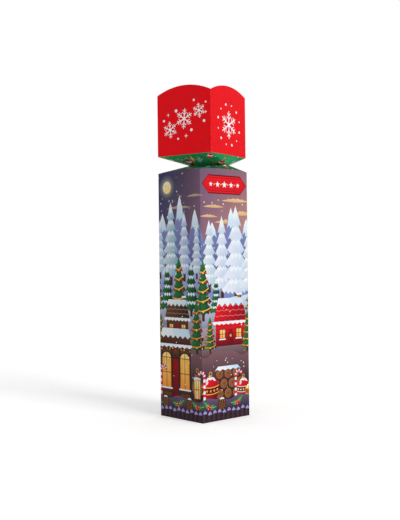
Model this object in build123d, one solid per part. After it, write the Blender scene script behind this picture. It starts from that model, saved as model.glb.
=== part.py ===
"""Christmas cracker carton: square body, neck pinched to a tear line, scalloped flare, and its filling."""
from build123d import *
import os
from math import cos, radians, sin, tan

os.makedirs("parts", exist_ok=True)

# Board and body, in millimetres and degrees
board = 0.6
side = 60.0
body_height = 230.0
crease_rise = 1.7

# Neck, pinched in towards one diagonal and turned on towards the flare
neck_height = 15.0
waist_rise = 7.0
waist_length = 31.4
waist_width = 19.0
waist_shift = 7.3
pinch_angle = 48.0
tear_gap = 0.3

# Flare
flare_side = 60.6
flare_height = 57.0
flare_turn = 14.0
scallop_rise = 7.0

# Glue flaps
seam_width = 12.0
seam_margin = 4.0

# Bottom closure
crease_gap = 0.05
flap_side_gap = 0.4
flap_stack_gap = 0.2
tongue_height = 14.0
tongue_corner = 6.0
tongue_gap = 0.9
tongue_side_gap = 2.0
dust_meet_gap = 6.0
dust_front_gap = 2.0
dust_back_gap = 2.0
dust_taper = 24.0
dust_corner = 4.0

# Cracker snap
snap_width = 8.0
snap_board = 0.5
snap_gap = 0.2
snap_place = 8.0
snap_rise = 3.0
snap_tab = 26.0
sleeve_length = 24.0
sleeve_wall = 0.4
sleeve_drop = 22.0
snap_tail = 8.0

# Wrapped sweets, log piled in crossed pairs
sweet_diameter = 22.0
sweet_barrel = 30.0
sweet_shoulder = 3.0
sweet_layers = 6
sweet_pleats = 8
pleat_depth = 2.0
twist_radius = 2.4
tail_inset = 2.0
wrapper = 0.3
wrapper_fit = 0.15
sweet_gap = 0.3
wall_gap = 0.3

# Folded paper crown and rolled motto
tissue = 0.3
crown_width = 46.0
crown_height = 58.0
crown_points = 4
crown_point_height = 16.0
crown_folds = 5
crown_pitch = 0.6
slip = 0.2
slip_length = 40.0
roll_radius = 3.0
roll_pitch = 0.5
roll_turns = 3
band_width = 6.0
band_wall = 0.3
band_fit = 0.1
rest_gap = 0.2

# Levels and widths that follow from them
inner = side - 2 * board
flare_inner = flare_side - 2 * board
waist_level = body_height + waist_rise
flare_base = body_height + neck_height
flare_seat = flare_base + board
round_trip = ((-1, -1), (1, -1), (1, 1), (-1, 1))


def block(low, high):
    """Box between two opposite corners."""
    size = [b - a for a, b in zip(low, high)]
    return Pos(*low) * Box(*size, align=(Align.MIN, Align.MIN, Align.MIN))


def corners(width, turn):
    """Corners of a square about the axis, from front left round to back left."""
    return [Vector(x * width / 2, y * width / 2).rotate(Axis.Z, turn) for x, y in round_trip]


def at_level(point, level):
    return Vector(point.X, point.Y, level)


def wall(width, base, crest_edge, crest_rise, quarter):
    """One mitred panel of a square sleeve, its top edge bowed up between the corners."""
    half = width / 2
    top = ThreePointArc((half, crest_edge), (0, crest_edge + crest_rise), (-half, crest_edge))
    sides = Polyline((-half, crest_edge), (-half, base), (half, base), (half, crest_edge))
    sheet = extrude(Plane.XZ.offset(half) * make_face([top, sides]), -board)
    wedge = extrude(Pos(0, 0, base) * make_face(Polyline((0, 0), (-half, -half), (half, -half), close=True)),
                    crest_edge + crest_rise - base)
    return Rot(0, 0, 90 * quarter) * (sheet & wedge)


def facet(start, end, apex, bow, lift):
    """Neck facet from a crease to a waist corner; a bowed crease makes it a part of a cone."""
    sides = [Line(end, apex), Line(apex, start)]
    if bow:
        crease = ThreePointArc(start, (start + end) / 2 + Vector(0, 0, bow), end)
        return Solid.extrude(Face.make_surface([crease, *sides]), Vector(0, 0, lift))
    return extrude(make_face([Line(start, end), *sides]), lift, dir=(0, 0, 1))


faces = ("front", "right", "back", "left")
edges = ("front_left", "front_right", "back_right", "back_left")
parts = {}

# Body panels; the back one stops above the hinged bottom flap
for quarter, name in enumerate(faces):
    foot = board + crease_gap if name == "back" else 0
    parts[f"{name}_panel"] = wall(side, foot, body_height - board, crease_rise, quarter)

# Flare panels
for quarter, name in enumerate(faces):
    panel = wall(flare_side, flare_seat, flare_base + flare_height, scallop_rise, quarter)
    parts[f"flare_{name}"] = Rot(0, 0, flare_turn) * panel

# Two halves of the neck, parted by the tear line at the waist
along = Vector(1, 0).rotate(Axis.Z, pinch_angle)
across = Vector(0, 1).rotate(Axis.Z, pinch_angle)
waist = [along * (waist_shift + a * waist_length / 2) + across * (b * waist_width / 2)
         for a, b in round_trip]
halves = (
    ("lower", corners(side, 0), body_height, waist_level - tear_gap / 2, crease_rise, -board),
    ("upper", corners(flare_side, flare_turn), flare_base, waist_level + tear_gap / 2, 0, board),
)
for half, ring, rim_level, pinch_level, bow, lift in halves:
    rim = [at_level(point, rim_level) for point in ring]
    pinch = [at_level(point, pinch_level) for point in waist]
    for k in range(4):
        parts[f"{half}_neck_{faces[k]}"] = facet(rim[k], rim[(k + 1) % 4], pinch[k], bow, lift)
        parts[f"{half}_gusset_{edges[k]}"] = facet(pinch[k - 1], pinch[k], rim[k], 0, lift)


def seam(width, low, high):
    """Glue flap on the inside of the left wall, along the back left edge."""
    half = width / 2
    free = half - seam_width
    fixed_edge = ((half, low), (half, high))
    free_edge = ((free, high - seam_margin), (free, low + seam_margin))
    outline = make_face(Polyline(*fixed_edge, *free_edge, close=True))
    return extrude(Plane.YZ.offset(-half) * outline, board)


parts["side_seam_flap"] = seam(inner, seam_margin, body_height - seam_margin)
flare_seam = seam(flare_inner, flare_seat + seam_margin, flare_base + flare_height - seam_margin)
parts["flare_seam_flap"] = Rot(0, 0, flare_turn) * flare_seam

# Bottom flap with a rounded fold along the back edge, and the tongue that tucks in behind the front panel;
# the flap stops a board's thickness short of the tongue's fold, so that the tongue can lean in
fold_radius = board / 2
flap_half = inner / 2 - flap_side_gap
hinge_y = side / 2 - fold_radius
tongue_y = -inner / 2 + tongue_gap + fold_radius


def fold(length):
    """Rounded fold bead along X."""
    return Rot(0, 90, 0) * Cylinder(fold_radius, length)


flap_front = tongue_y + board + crease_gap
flap_plate = block((-flap_half, flap_front, 0), (flap_half, hinge_y, board))
parts["bottom_flap"] = flap_plate + Pos(0, hinge_y, fold_radius) * fold(2 * flap_half)

tongue_half = flap_half - tongue_side_gap
tongue_face = make_face(Polyline((-tongue_half, fold_radius), (tongue_half, fold_radius),
                                 (tongue_half, tongue_height), (-tongue_half, tongue_height), close=True))
tongue_face = fillet(tongue_face.vertices().group_by(Axis.Y)[-1], tongue_corner)
tongue_plate = extrude(Plane.XZ.offset(-tongue_y) * tongue_face, fold_radius, both=True)
parts["tuck_tongue"] = tongue_plate + Pos(0, tongue_y, fold_radius) * fold(2 * tongue_half)

# Dust flaps, hinged on the side walls, slanted on the edge next to the bottom flap's fold
dust_level = board + flap_stack_gap
dust_hinge = inner / 2 - fold_radius - crease_gap
dust_front = -inner / 2 + tongue_gap + board + dust_front_gap
dust_back = inner / 2 - dust_back_gap
dust_reach = dust_hinge - dust_meet_gap / 2
dust_face = make_face(Polyline((0, dust_front), (0, dust_back), (dust_reach, dust_back - dust_taper),
                               (dust_reach, dust_front), close=True))
dust_face = fillet(dust_face.vertices().group_by(Axis.X)[-1], dust_corner)
dust_bead = Pos(0, (dust_front + dust_back) / 2, fold_radius) * Rot(90, 0, 0) * Cylinder(
    fold_radius, dust_back - dust_front)
dust_flap = Pos(-dust_hinge, 0, dust_level) * (extrude(dust_face, board) + dust_bead)
parts["dust_flap_left"] = dust_flap
parts["dust_flap_right"] = mirror(dust_flap, Plane.YZ)

# Cracker snap; X runs from the waist to the right wall of the flare, to which the upper strip is glued
snap_turn = Rot(0, 0, flare_turn)
snap_axis = (along * (waist_shift + snap_place)).rotate(Axis.Z, -flare_turn)
snap_low, snap_high = snap_axis.Y - snap_width / 2, snap_axis.Y + snap_width / 2
upper_in, upper_out = snap_axis.X - snap_board - snap_gap / 2, snap_axis.X - snap_gap / 2
lower_in, lower_out = snap_axis.X + snap_gap / 2, snap_axis.X + snap_board + snap_gap / 2
sleeve_top = body_height - sleeve_drop
sleeve_foot = sleeve_top - sleeve_length
upper_run = flare_seat + snap_rise
lower_run = sleeve_foot - 2 * snap_tail
lower_foot = lower_run - snap_tab
glue_x = flare_inner / 2
upper_strip = (
    block((upper_in, snap_low, sleeve_foot - snap_tail), (upper_out, snap_high, upper_run))
    + block((upper_in, snap_low, upper_run), (glue_x, snap_high, upper_run + snap_board))
    + block((glue_x - snap_board, snap_low, upper_run), (glue_x, snap_high, upper_run + snap_tab))
)
parts["snap_upper_strip"] = snap_turn * upper_strip

# The lower strip meets the body wall askew, so its glued end leans by the same angle
lower_stem = block((lower_in, snap_low, lower_run), (lower_out, snap_high, sleeve_top + snap_tail))
lower_reach = block((lower_in, snap_low, lower_run - snap_board), (side, snap_high, lower_run))
room = block((-inner / 2, -inner / 2, 0), (inner / 2, inner / 2, body_height))
glue_y = ((inner / 2) * sin(radians(flare_turn)) + snap_axis.Y) / cos(radians(flare_turn))
glue_half = snap_width / 2 / cos(radians(flare_turn))
glue_lean = snap_tab * tan(radians(flare_turn))
glue_end = make_face(Polyline((glue_y - glue_half, lower_run), (glue_y + glue_half, lower_run),
                              (glue_y + glue_half + glue_lean, lower_foot),
                              (glue_y - glue_half + glue_lean, lower_foot), close=True))
lower_strip = snap_turn * (lower_stem + lower_reach) & room
parts["snap_lower_strip"] = lower_strip + extrude(Plane.YZ.offset(inner / 2) * glue_end, -snap_board)

sleeve_hole = (2 * snap_board + 3 * snap_gap, snap_width + 2 * snap_gap)
sleeve = Box(sleeve_hole[0] + 2 * sleeve_wall, sleeve_hole[1] + 2 * sleeve_wall, sleeve_length)
sleeve -= Box(*sleeve_hole, sleeve_length)
parts["snap_sleeve"] = snap_turn * Pos(snap_axis.X, snap_axis.Y, (sleeve_top + sleeve_foot) / 2) * sleeve

# Wrapped sweet along X: a paper tube drawn in to a twist at each end, with a chocolate in its barrel
sweet_radius = sweet_diameter / 2
tail_radius = sweet_radius - tail_inset
sweet_half = inner / 2 - max(board, snap_board) - wall_gap
barrel_half = sweet_barrel / 2
twist_x = (barrel_half + sweet_half) / 2
barrel_flat = barrel_half - sweet_shoulder


def paper_rings(stations, drawn_in):
    """Pleated sections along X at the stations and their mirror images, drawn in towards the axis."""
    step = 180 / sweet_pleats
    whole = [(-x, radius, pleat) for x, radius, pleat in reversed(stations)] + stations
    return [[Vector(x, 0, radius - drawn_in - pleat * (k % 2)).rotate(Axis.X, k * step)
             for k in range(2 * sweet_pleats)] for x, radius, pleat in whole]


def paper_skin(rings):
    """Flat facets between each section and the next."""
    skin = []
    for near, far in zip(rings, rings[1:]):
        for k in range(len(near)):
            skin.append(Face(Wire.make_polygon([near[k - 1], near[k], far[k]])))
            skin.append(Face(Wire.make_polygon([near[k - 1], far[k], far[k - 1]])))
    return skin


barrel_stations = [(barrel_flat, sweet_radius, 0), (barrel_half, sweet_radius - sweet_shoulder, 0)]
tail_stations = [(twist_x, twist_radius, 0), (sweet_half, tail_radius, pleat_depth)]
outside = paper_rings(barrel_stations + tail_stations, 0)
inside = paper_rings(barrel_stations + tail_stations, wrapper)
sweet_wrapper = Solid(Shell(paper_skin([*outside, *reversed(inside), outside[0]])))
core_stations = [(x - wrapper_fit, radius, pleat) for x, radius, pleat in barrel_stations]
core = paper_rings(core_stations, wrapper + wrapper_fit)
core_ends = [Face(Wire.make_polygon(core[0])), Face(Wire.make_polygon(core[-1]))]
chocolate = Solid(Shell(paper_skin(core) + core_ends))

# Crossed layers of sweets on the dust flaps
pile_floor = dust_level + board + rest_gap
layer_pitch = sweet_diameter + sweet_gap
abreast = int(2 * sweet_half / layer_pitch)
chocolates = []
for layer in range(sweet_layers):
    for place in range(abreast):
        shift = (place - (abreast - 1) / 2) * layer_pitch
        level = pile_floor + sweet_radius + layer * layer_pitch
        spot = Pos(0, 0, level) * Rot(0, 0, 90 * (layer % 2)) * Pos(0, shift, 0)
        parts[f"sweet_wrapper_{layer * abreast + place + 1:02d}"] = spot * sweet_wrapper
        chocolates.append(spot * chocolate)
parts["chocolates"] = Compound(children=chocolates)
pile_axis = pile_floor + sweet_radius + (sweet_layers - 1) * layer_pitch
pile_turn = Rot(0, 0, 90 * (sweet_layers % 2))

# Paper crown, folded to and fro into a flat pack that stands on the tails of the top sweets
crown_foot = pile_axis + tail_radius + rest_gap
crown_turn = crown_pitch / 2
crown_run = crown_width / 2 - crown_turn
crown_start = -inner / 2 + rest_gap + tissue / 2
crown_line = []
for k in range(crown_folds):
    y = crown_start + k * crown_pitch
    way = 1 if k % 2 == 0 else -1
    crown_line.append(Line((-way * crown_run, y), (way * crown_run, y)))
    if k < crown_folds - 1:
        bend = (way * (crown_run + crown_turn), y + crown_turn)
        crown_line.append(ThreePointArc((way * crown_run, y), bend, (way * crown_run, y + crown_pitch)))
crown = Pos(0, 0, crown_foot) * extrude(trace(Wire(crown_line), tissue), crown_height)
notch_step = crown_width / crown_points
crown_top = crown_foot + crown_height
for k in range(crown_points + 1):
    notch_x = -crown_width / 2 + k * notch_step
    notch_low, notch_high = notch_x - notch_step / 2, notch_x + notch_step / 2
    valley = (notch_x, crown_top - crown_point_height)
    notch = make_face(Polyline((notch_low, crown_top), valley, (notch_high, crown_top), close=True))
    crown -= extrude(Plane.XZ * notch, side, both=True)
parts["paper_crown"] = pile_turn * crown

# Motto slip, rolled up and laid across the top sweets
roll_line = []
for k in range(2 * roll_turns):
    radius = roll_radius - roll_turns * roll_pitch + (k + 1) * roll_pitch / 2
    middle = 0 if k % 2 == 0 else -roll_pitch / 2
    way = 1 if k % 2 == 0 else -1
    reach = way * radius
    roll_line.append(ThreePointArc((middle - reach, 0), (middle, reach), (middle + reach, 0)))
roll = extrude(Plane.YZ * trace(Wire(roll_line), slip), slip_length / 2, both=True)
band_inside = roll_radius + slip / 2 + band_fit
band = Cylinder(band_inside + band_wall, band_width) - Cylinder(band_inside, band_width)
roll_seat = pile_turn * Pos(0, 0, pile_axis + sweet_radius + rest_gap + band_inside + band_wall)
parts["motto_slip"] = roll_seat * roll
parts["motto_band"] = roll_seat * Pos(0, -roll_pitch / 2, 0) * Rot(0, 90, 0) * band

for name, shape in parts.items():
    export_step(shape, f"parts/{name}.step")
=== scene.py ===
import math
import random

import bmesh
import bpy
from mathutils import Matrix, Vector
from mathutils.geometry import delaunay_2d_cdt
from mathutils.noise import noise


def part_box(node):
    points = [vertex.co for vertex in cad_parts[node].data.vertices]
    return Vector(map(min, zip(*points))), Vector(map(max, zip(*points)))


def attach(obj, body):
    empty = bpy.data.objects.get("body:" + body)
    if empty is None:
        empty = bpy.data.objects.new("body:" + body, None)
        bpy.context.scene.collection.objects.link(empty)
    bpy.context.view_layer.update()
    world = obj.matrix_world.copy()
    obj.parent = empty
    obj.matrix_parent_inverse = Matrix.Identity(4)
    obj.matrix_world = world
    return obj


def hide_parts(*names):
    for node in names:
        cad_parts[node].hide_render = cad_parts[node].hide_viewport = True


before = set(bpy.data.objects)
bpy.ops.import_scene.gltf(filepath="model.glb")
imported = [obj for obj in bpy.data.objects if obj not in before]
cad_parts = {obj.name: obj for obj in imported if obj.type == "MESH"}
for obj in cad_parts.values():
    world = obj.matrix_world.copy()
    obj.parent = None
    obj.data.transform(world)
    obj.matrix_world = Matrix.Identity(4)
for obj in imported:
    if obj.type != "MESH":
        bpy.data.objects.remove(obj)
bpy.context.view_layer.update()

# A millimetre in metres, and the tolerances
MM = 0.001
TINY = 1e-9
SLACK = 1e-6
LOOSE = 1e-3

# Carton dimensions in millimetres, as in the CAD apart from the tear gap, which is shut to look unbroken
BOARD = 0.6
SIDE = 60.0
BODY_HEIGHT = 230.0
CREASE_RISE = 1.7
NECK_HEIGHT = 15.0
WAIST_RISE = 7.0
WAIST_LENGTH = 31.4
WAIST_WIDTH = 19.0
WAIST_SHIFT = 7.3
PINCH_ANGLE = math.radians(48.0)
TEAR_GAP = 0.04
FLARE_SIDE = 60.6
FLARE_HEIGHT = 57.0
FLARE_TURN = math.radians(14.0)
SCALLOP_RISE = 7.0
BACK_FOOT = 0.65
FOLD_RADIUS = 0.9
CREASE_STRIP = 0.8
FLARE_BASE = BODY_HEIGHT + NECK_HEIGHT
WAIST_LEVEL = BODY_HEIGHT + WAIST_RISE

# The blank runs from the left panel, which starts at -SIDE, to the back panel's end at 3 SIDE
PANELS = 4
FIRST_PANEL = -1
BLANK_START = FIRST_PANEL * SIDE
BLANK_END = BLANK_START + PANELS * SIDE

dice = random.Random(24)


# Inks

def ink(red, green, blue):
    """Linear colour of an ink named by its sRGB levels."""
    def linear(level):
        level /= 255
        return level / 12.92 if level <= 0.04045 else ((level + 0.055) / 1.055) ** 2.4
    return (linear(red), linear(green), linear(blue))


def mix(first, second, share):
    return tuple(a + (b - a) * share for a, b in zip(first, second))


def clamp(share):
    return min(1.0, max(0.0, share))


def fade(first, second, x0, y0, x1, y1):
    """An ink that runs from the first colour at one point to the second at another."""
    length = (x1 - x0) ** 2 + (y1 - y0) ** 2

    def paint(x, y):
        return mix(first, second, clamp(((x - x0) * (x1 - x0) + (y - y0) * (y1 - y0)) / length))
    return paint


WHITE = ink(250, 250, 252)
SNOW = ink(240, 245, 252)
ICE = ink(190, 225, 245)
LAVENDER = ink(160, 155, 210)
PLUM = ink(45, 35, 80)
RED = ink(237, 27, 36)
DEEP_RED = ink(150, 16, 28)
WINE = ink(96, 12, 24)
ORANGE = ink(245, 150, 45)
AMBER = ink(250, 190, 80)
GLOW = ink(255, 222, 140)
GOLD = ink(232, 176, 66)
GOLD_SHADE = ink(168, 104, 30)
CREAM = ink(250, 236, 205)
FIR = ink(18, 76, 54)
FIR_LIGHT = ink(62, 140, 66)
FIR_DARK = ink(10, 44, 36)
LEAF = ink(96, 168, 72)
NEEDLE = ink(30, 160, 92)
BARK = ink(92, 52, 32)
BARK_DARK = ink(52, 28, 18)
TAN = ink(196, 130, 78)
DUSK_BROWN = ink(92, 62, 62)
DUSK_DEEP = ink(52, 36, 44)
GROUND = ink(66, 50, 74)
TIMBER = ink(104, 62, 38)
TIMBER_DARK = ink(62, 34, 24)
LOG_WOOD, LOG_SHADE, LOG_RING = ink(172, 110, 68), ink(132, 78, 48), ink(106, 62, 38)
BOARD_WHITE = ink(226, 222, 212)


# Flat shapes of the print, in millimetres of the blank

def turned(point, angle):
    x, y = point
    return (x * math.cos(angle) - y * math.sin(angle), x * math.sin(angle) + y * math.cos(angle))


def box(x, y, wide, tall):
    return [(x, y), (x + wide, y), (x + wide, y + tall), (x, y + tall)]


def arc(x, y, wide, tall, angles):
    return [(x + wide * math.cos(a), y + tall * math.sin(a)) for a in angles]


def oval(x, y, radius, stretch=1.0, sides=18, turn=0.0):
    rim = arc(0, 0, radius, radius * stretch, [2 * math.pi * k / sides for k in range(sides)])
    return [(x + a, y + b) for a, b in (turned(p, turn) for p in rim)]


def zigzag(reach, teeth, first, second):
    """A saw-toothed line from -reach to reach, its points at the two heights in turn."""
    return [(reach * (k / teeth - 1), second if k % 2 else first) for k in range(2 * teeth + 1)]


def strip(points, width, tip=None):
    """Outline of a band of that width along a line, narrowing to tip at its far end."""
    left, right = [], []
    last = len(points) - 1
    for k, (x, y) in enumerate(points):
        ax, ay = points[max(0, k - 1)]
        bx, by = points[min(last, k + 1)]
        run = math.hypot(bx - ax, by - ay)
        half = (width + ((tip or width) - width) * k / last) / 2
        nx, ny = -(by - ay) / run * half, (bx - ax) / run * half
        left.append((x + nx, y + ny))
        right.append((x - nx, y - ny))
    return right + left[::-1]


class Print:
    """Shapes printed over a base ink, later ones on top."""

    def __init__(self, base):
        self.base = base
        self.shapes = []

    def lay(self, points, paint):
        area = sum(a[0] * b[1] - b[0] * a[1] for a, b in zip(points, points[1:] + points[:1]))
        self.shapes.append((points if area > 0 else points[::-1], paint))


class Stamp:
    """A motif's own grid on a print: u across and v up from (x, y), in units of its width and height."""

    def __init__(self, art, x, y, wide=1.0, tall=1.0):
        self.art, self.x, self.y, self.wide, self.tall = art, x, y, wide, tall

    def at(self, u, v):
        return (self.x + self.wide * u, self.y + self.tall * v)

    def fade(self, first, second, u0, v0, u1, v1):
        return fade(first, second, *self.at(u0, v0), *self.at(u1, v1))

    def lay(self, points, paint):
        self.art.lay([self.at(*p) for p in points], paint)

    def box(self, u, v, wide, tall, paint):
        self.lay(box(u, v, wide, tall), paint)

    def snow(self, reach, teeth, first, second, top, height, paint):
        """A cap of snow with a dripping lower edge and its upper corners at -top and top."""
        self.lay(zigzag(reach, teeth, first, second) + [(top, height), (-top, height)], paint)

    def oval(self, u, v, radius, paint, stretch=1.0, sides=18, turn=0.0):
        """A circle or oval, its radius in units of the width."""
        self.art.lay(oval(*self.at(u, v), self.wide * radius, stretch, sides, turn), paint)

    def line(self, points, width, paint, tip=None):
        """A band along a line, its width in units of the stamp's."""
        ends = self.wide * width, self.wide * (tip or width)
        self.art.lay(strip([self.at(*p) for p in points], *ends), paint)


# Motifs

HALF_TURN = (0, 0.52, 1.05, 1.57, 2.09, 2.62, 3.14)
LOOP = (-0.8, 0.2, 1.1, 2.0, 2.9, 3.9)
RING = [-1.2 + 0.9 * k for k in range(7)]
WREATH = [0.9 * k for k in range(7)] + [6.2]


def star(art, x, y, radius, paint, tips=5, waist=0.42):
    points = []
    for k in range(2 * tips):
        reach = radius * (waist if k % 2 else 1)
        points += arc(x, y, reach, reach, [math.pi / 2 + math.pi * k / tips])
    art.lay(points, paint)


def snowflake(art, x, y, radius, paint, turn=0.0):
    """Six-armed flake; large ones carry two pairs of barbs on each arm."""
    stem, lean = radius * 0.11, 0.95
    barbs = ((0.42, 0.34), (0.68, 0.26)) if radius > 2.5 else ((0.55, 0.34),)

    def spoke(root, angle, length, width):
        art.lay(strip([root, *arc(*root, length, length, [angle])], width, width * 0.7), paint)

    for arm in range(6):
        angle = turn + math.pi * (arm / 3 + 0.5)
        spoke((x, y), angle, radius, stem)
        for place, length in barbs:
            root, = arc(x, y, radius * place, radius * place, [angle])
            for side in (-lean, lean):
                spoke(root, angle + side, radius * length, stem * 0.8)
    art.lay(oval(x, y, radius * 0.17, sides=6), paint)


def fir(art, x, foot, wide, tall, tiers, light, dark, snow=None, garland=None):
    """Layered fir tree with a fringed edge to each layer, under snow or hung with a garland."""
    trunk = Stamp(art, x, foot, wide, tall)
    trunk.box(-0.06, 0, 0.12, 0.14, trunk.fade(BARK, BARK_DARK, -0.06, 0, 0.06, 0))
    step, top = tall * 0.9 / (tiers + 0.75), 1.75
    for tier in range(tiers):
        half = wide / 2 * (1 - 0.78 * tier / tiers)
        layer = Stamp(art, x, foot + tall * 0.1 + tier * step, half, step)
        fringe = [(u, v + 0.2 * u * u) for u, v in zigzag(1, tiers - tier + 2, 0, 0.2)]
        layer.lay(fringe + [(0, top)], layer.fade(light, dark, -1, top, 0.5, 0))
        if snow:
            layer.lay(zigzag(0.92 * 0.9 / top, 3, 0.95, 0.69) + [(0, top)], snow)
        if garland:
            swag = [(0.18 * k, 0.42 + 0.03 * k + 0.016 * k * k) for k in range(-4, 5)]
            layer.line(swag, max(0.7, wide * 0.035) / half, garland)
            for u in (-0.54, 0, 0.54):
                layer.oval(u, 0.34, wide * 0.035 / half, RED if u else AMBER, sides=8)


def bauble(art, x, y, radius, light, dark, trim):
    """Glass ball with a starred band, a highlight, a cap of snow and a loop."""
    ball = Stamp(art, x, y, radius, radius)
    band = ball.fade(trim, mix(trim, dark, 0.3), -1, 1, 1, -1)
    ball.box(-0.2, 0.9, 0.4, 0.24, ball.fade(GLOW, GOLD_SHADE, -0.2, 0, 0.2, 0))
    ball.line(arc(0, 1.26, 0.16, 0.16, LOOP), 0.07, GOLD)
    ball.oval(0, 0, 1, ball.fade(light, dark, -0.6, 0.7, 0.6, -0.8), sides=36)

    def latitude(level):
        reach = math.sqrt(1 - level * level) * 0.995
        return [(reach * k / 6, level - 0.16 * (1 - k * k / 36)) for k in range(-6, 7)]
    for low, high, paint in ((-0.32, 0.3, band), (-0.24, 0.22, dark)):
        ball.lay(latitude(low) + latitude(high)[::-1], paint)
    for u in (-0.78, -0.42, 0.0, 0.42, 0.78):
        star(art, *ball.at(0.96 * u, -0.02 - 0.16 * (1 - u * u)), radius * 0.15, band)
    ball.oval(-0.42, 0.52, 0.2, mix(light, WHITE, 0.75), 0.55, 12, 0.7)
    cap = [(u, v - 0.5 * u * u) for u, v in zigzag(0.6, 3, 0.84, 0.73)]
    ball.lay(cap + [(0.34, 0.97), (-0.34, 0.97)], SNOW)


def window(art, x, y, wide, tall):
    """Lit window with glazing bars and a snowy sill."""
    rim, bar = 0.6, 0.5
    art.lay(box(x - rim, y - rim, wide + 2 * rim, tall + 2 * rim), BARK_DARK)
    art.lay(box(x, y, wide, tall), fade(ORANGE, GLOW, x, y, x + wide, y + tall))
    art.lay(box(x + (wide - bar) / 2, y, bar, tall), BARK)
    art.lay(box(x, y + (tall - bar) / 2, wide, bar), BARK)
    art.lay(box(x - 1, y - 1.4, wide + 2, 1.1), SNOW)


def cottage(art, x, foot, wide, tall, wall, wall_shade, roof, roof_shade):
    """House seen from its eaves: boarded wall, tiled roof under snow, lit windows."""
    half, mm = wide / 2, 1 / tall
    eaves, ridge_top, boards, courses = 0.46, 0.88, 6, 4
    house = Stamp(art, x, foot, half, tall)
    house.box(0.42, 0.72, 0.24, 0.26, house.fade(TAN, BARK, 0.42, 0, 0.66, 0))
    house.box(0.38, 0.97, 0.32, 0.045, SNOW)
    house.box(-0.86, 0, 1.72, eaves, house.fade(wall, wall_shade, 0, eaves, 0, 0))
    for board in range(1, boards):
        house.box(-0.86, eaves * board / boards, 1.72, 0.3 * mm, wall_shade)
    house.lay([(-1, eaves - mm), (1, eaves - mm), (0.72, ridge_top), (-0.72, ridge_top)],
              house.fade(roof, roof_shade, -1, ridge_top, 0.5, eaves))
    for course in range(courses):
        level = eaves + (ridge_top - eaves) * course / courses
        reach = (1 - 0.28 * course / courses) * 0.96
        tiles = zigzag(reach, 6 - course // 2, level + 1.1 * mm, level)
        house.line(tiles, 0.45 / half, mix(roof, WHITE, 0.22))
    house.snow(0.8, 5, 0.75, 0.82, 0.7, 0.92, house.fade(WHITE, ICE, -1, ridge_top, 1, ridge_top - 2 * mm))
    house.snow(1.04, 8, eaves - 1.3 * mm, eaves - 2.6 * mm, 1.03, eaves + 0.6 * mm, SNOW)
    door = eaves * 0.72
    house.lay([(-0.15, 0), (0.15, 0), (0.15, door * 0.75), (0, door), (-0.15, door * 0.75)],
              house.fade(DEEP_RED, WINE, 0, door, 0, 0))
    star(art, *house.at(0, door * 0.58), half * 0.09, GOLD)
    for place in (-0.62, 0.34):
        window(art, *house.at(place, eaves * 0.32), half * 0.28, tall * eaves * 0.36)


LANTERN_WIDE, LANTERN_TALL = 10, 32
FLAME = ((0.0, 0.29), (0.13, 0.35), (0.1, 0.41), (0.0, 0.5), (-0.1, 0.41), (-0.13, 0.35))


def lantern(art, x, foot):
    """Glazed lantern with a candle, a pitched cap and a ring."""
    lamp = Stamp(art, x, foot, LANTERN_WIDE / 2, LANTERN_TALL)
    for reach, share in ((1.5, 0.1), (1.25, 0.2), (1.02, 0.34)):
        lamp.oval(0, 0.4, reach, mix(DUSK_BROWN, AMBER, share), 1.2, 28)
    lamp.box(-1, 0, 2, 0.08, lamp.fade(BARK, BARK_DARK, -1, 0, 1, 0))
    lamp.box(-0.86, 0.08, 1.72, 0.54, lamp.fade(ORANGE, GLOW, 0, 0, 0, 0.5))
    lamp.box(-0.24, 0.08, 0.48, 0.22, lamp.fade(CREAM, AMBER, -0.2, 0, 0.3, 0))
    lamp.lay(FLAME, lamp.fade(ORANGE, GLOW, 0, 0.3, 0, 0.46))
    for bar in (-0.86, -0.36, 0.28, 0.78):
        lamp.box(bar, 0.08, 0.09, 0.54, BARK_DARK)
    lamp.box(-0.86, 0.33, 1.72, 0.016, BARK_DARK)
    lamp.lay([(-1, 0.6), (1, 0.6), (0.42, 0.78), (-0.42, 0.78)], lamp.fade(TAN, BARK_DARK, -1, 0, 0.8, 0))
    lamp.box(-0.3, 0.76, 0.6, 0.06, BARK)
    lamp.line(arc(0, 0.88, 0.3, 0.07, RING), 0.1, GOLD)
    lamp.lay(zigzag(1.05, 5, 0.6, 0.635) + [(0.86, 0.675), (0, 0.69), (-0.86, 0.675)],
             lamp.fade(WHITE, ICE, -1, 0, 1, 0))


def pine_cone(art, x, y, wide, tall):
    """Cone built from rows of overlapping scales."""
    cone, rows, stagger = Stamp(art, x, y, wide, tall), 7, 0.3
    cone.oval(0, 0.5, 0.5, BARK_DARK, tall / wide, 20)
    for row in range(rows):
        v = 0.94 - 0.84 * (row + 0.5) / rows
        reach = 0.45 * math.sqrt(1 - (2 * v - 1) ** 2)
        count = max(2, round(reach * 9))
        half = reach / count
        for k in range(count):
            u = (2 * k + 1 + (stagger if row % 2 else -stagger)) * half - reach
            cone.lay([(u - half * 0.8, v), (u, v - 0.075), (u + half * 0.8, v), (u, v + 0.05)],
                     cone.fade(TAN, BARK, u, v - 0.08, u, v + 0.05))
    cone.snow(0.3, 3, 0.9, 0.84, 0.14, 1, SNOW)


CANE_THICK = 2.8
CANE_HOOK = (0.35, 0.75, 1.15, 1.57, 2.0, 2.4, 2.8, 3.14)


def cane(art, x, foot, tall, face):
    """Hooked stick in red and white stripes."""
    hook = CANE_THICK * 1.35
    straight = tall - hook
    line = [(x, foot + straight * k / 9) for k in range(10)]
    line += arc(x + face * hook, foot + straight, -face * hook, hook, CANE_HOOK)
    art.lay(strip(line, CANE_THICK * 1.18), WINE)
    white = fade(WHITE, ICE, x - CANE_THICK, 0, x + CANE_THICK, 0)
    for k, ends in enumerate(zip(line, line[1:])):
        art.lay(strip(ends, CANE_THICK), white if k % 2 else RED)


HOLLY_EDGE = ((0.1, 0.06), (0.3, 0.34), (0.42, 0.2), (0.62, 0.36), (0.74, 0.19), (0.92, 0.24), (1.2, 0.0))
HOLLY_LEAN = 1.15


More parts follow.
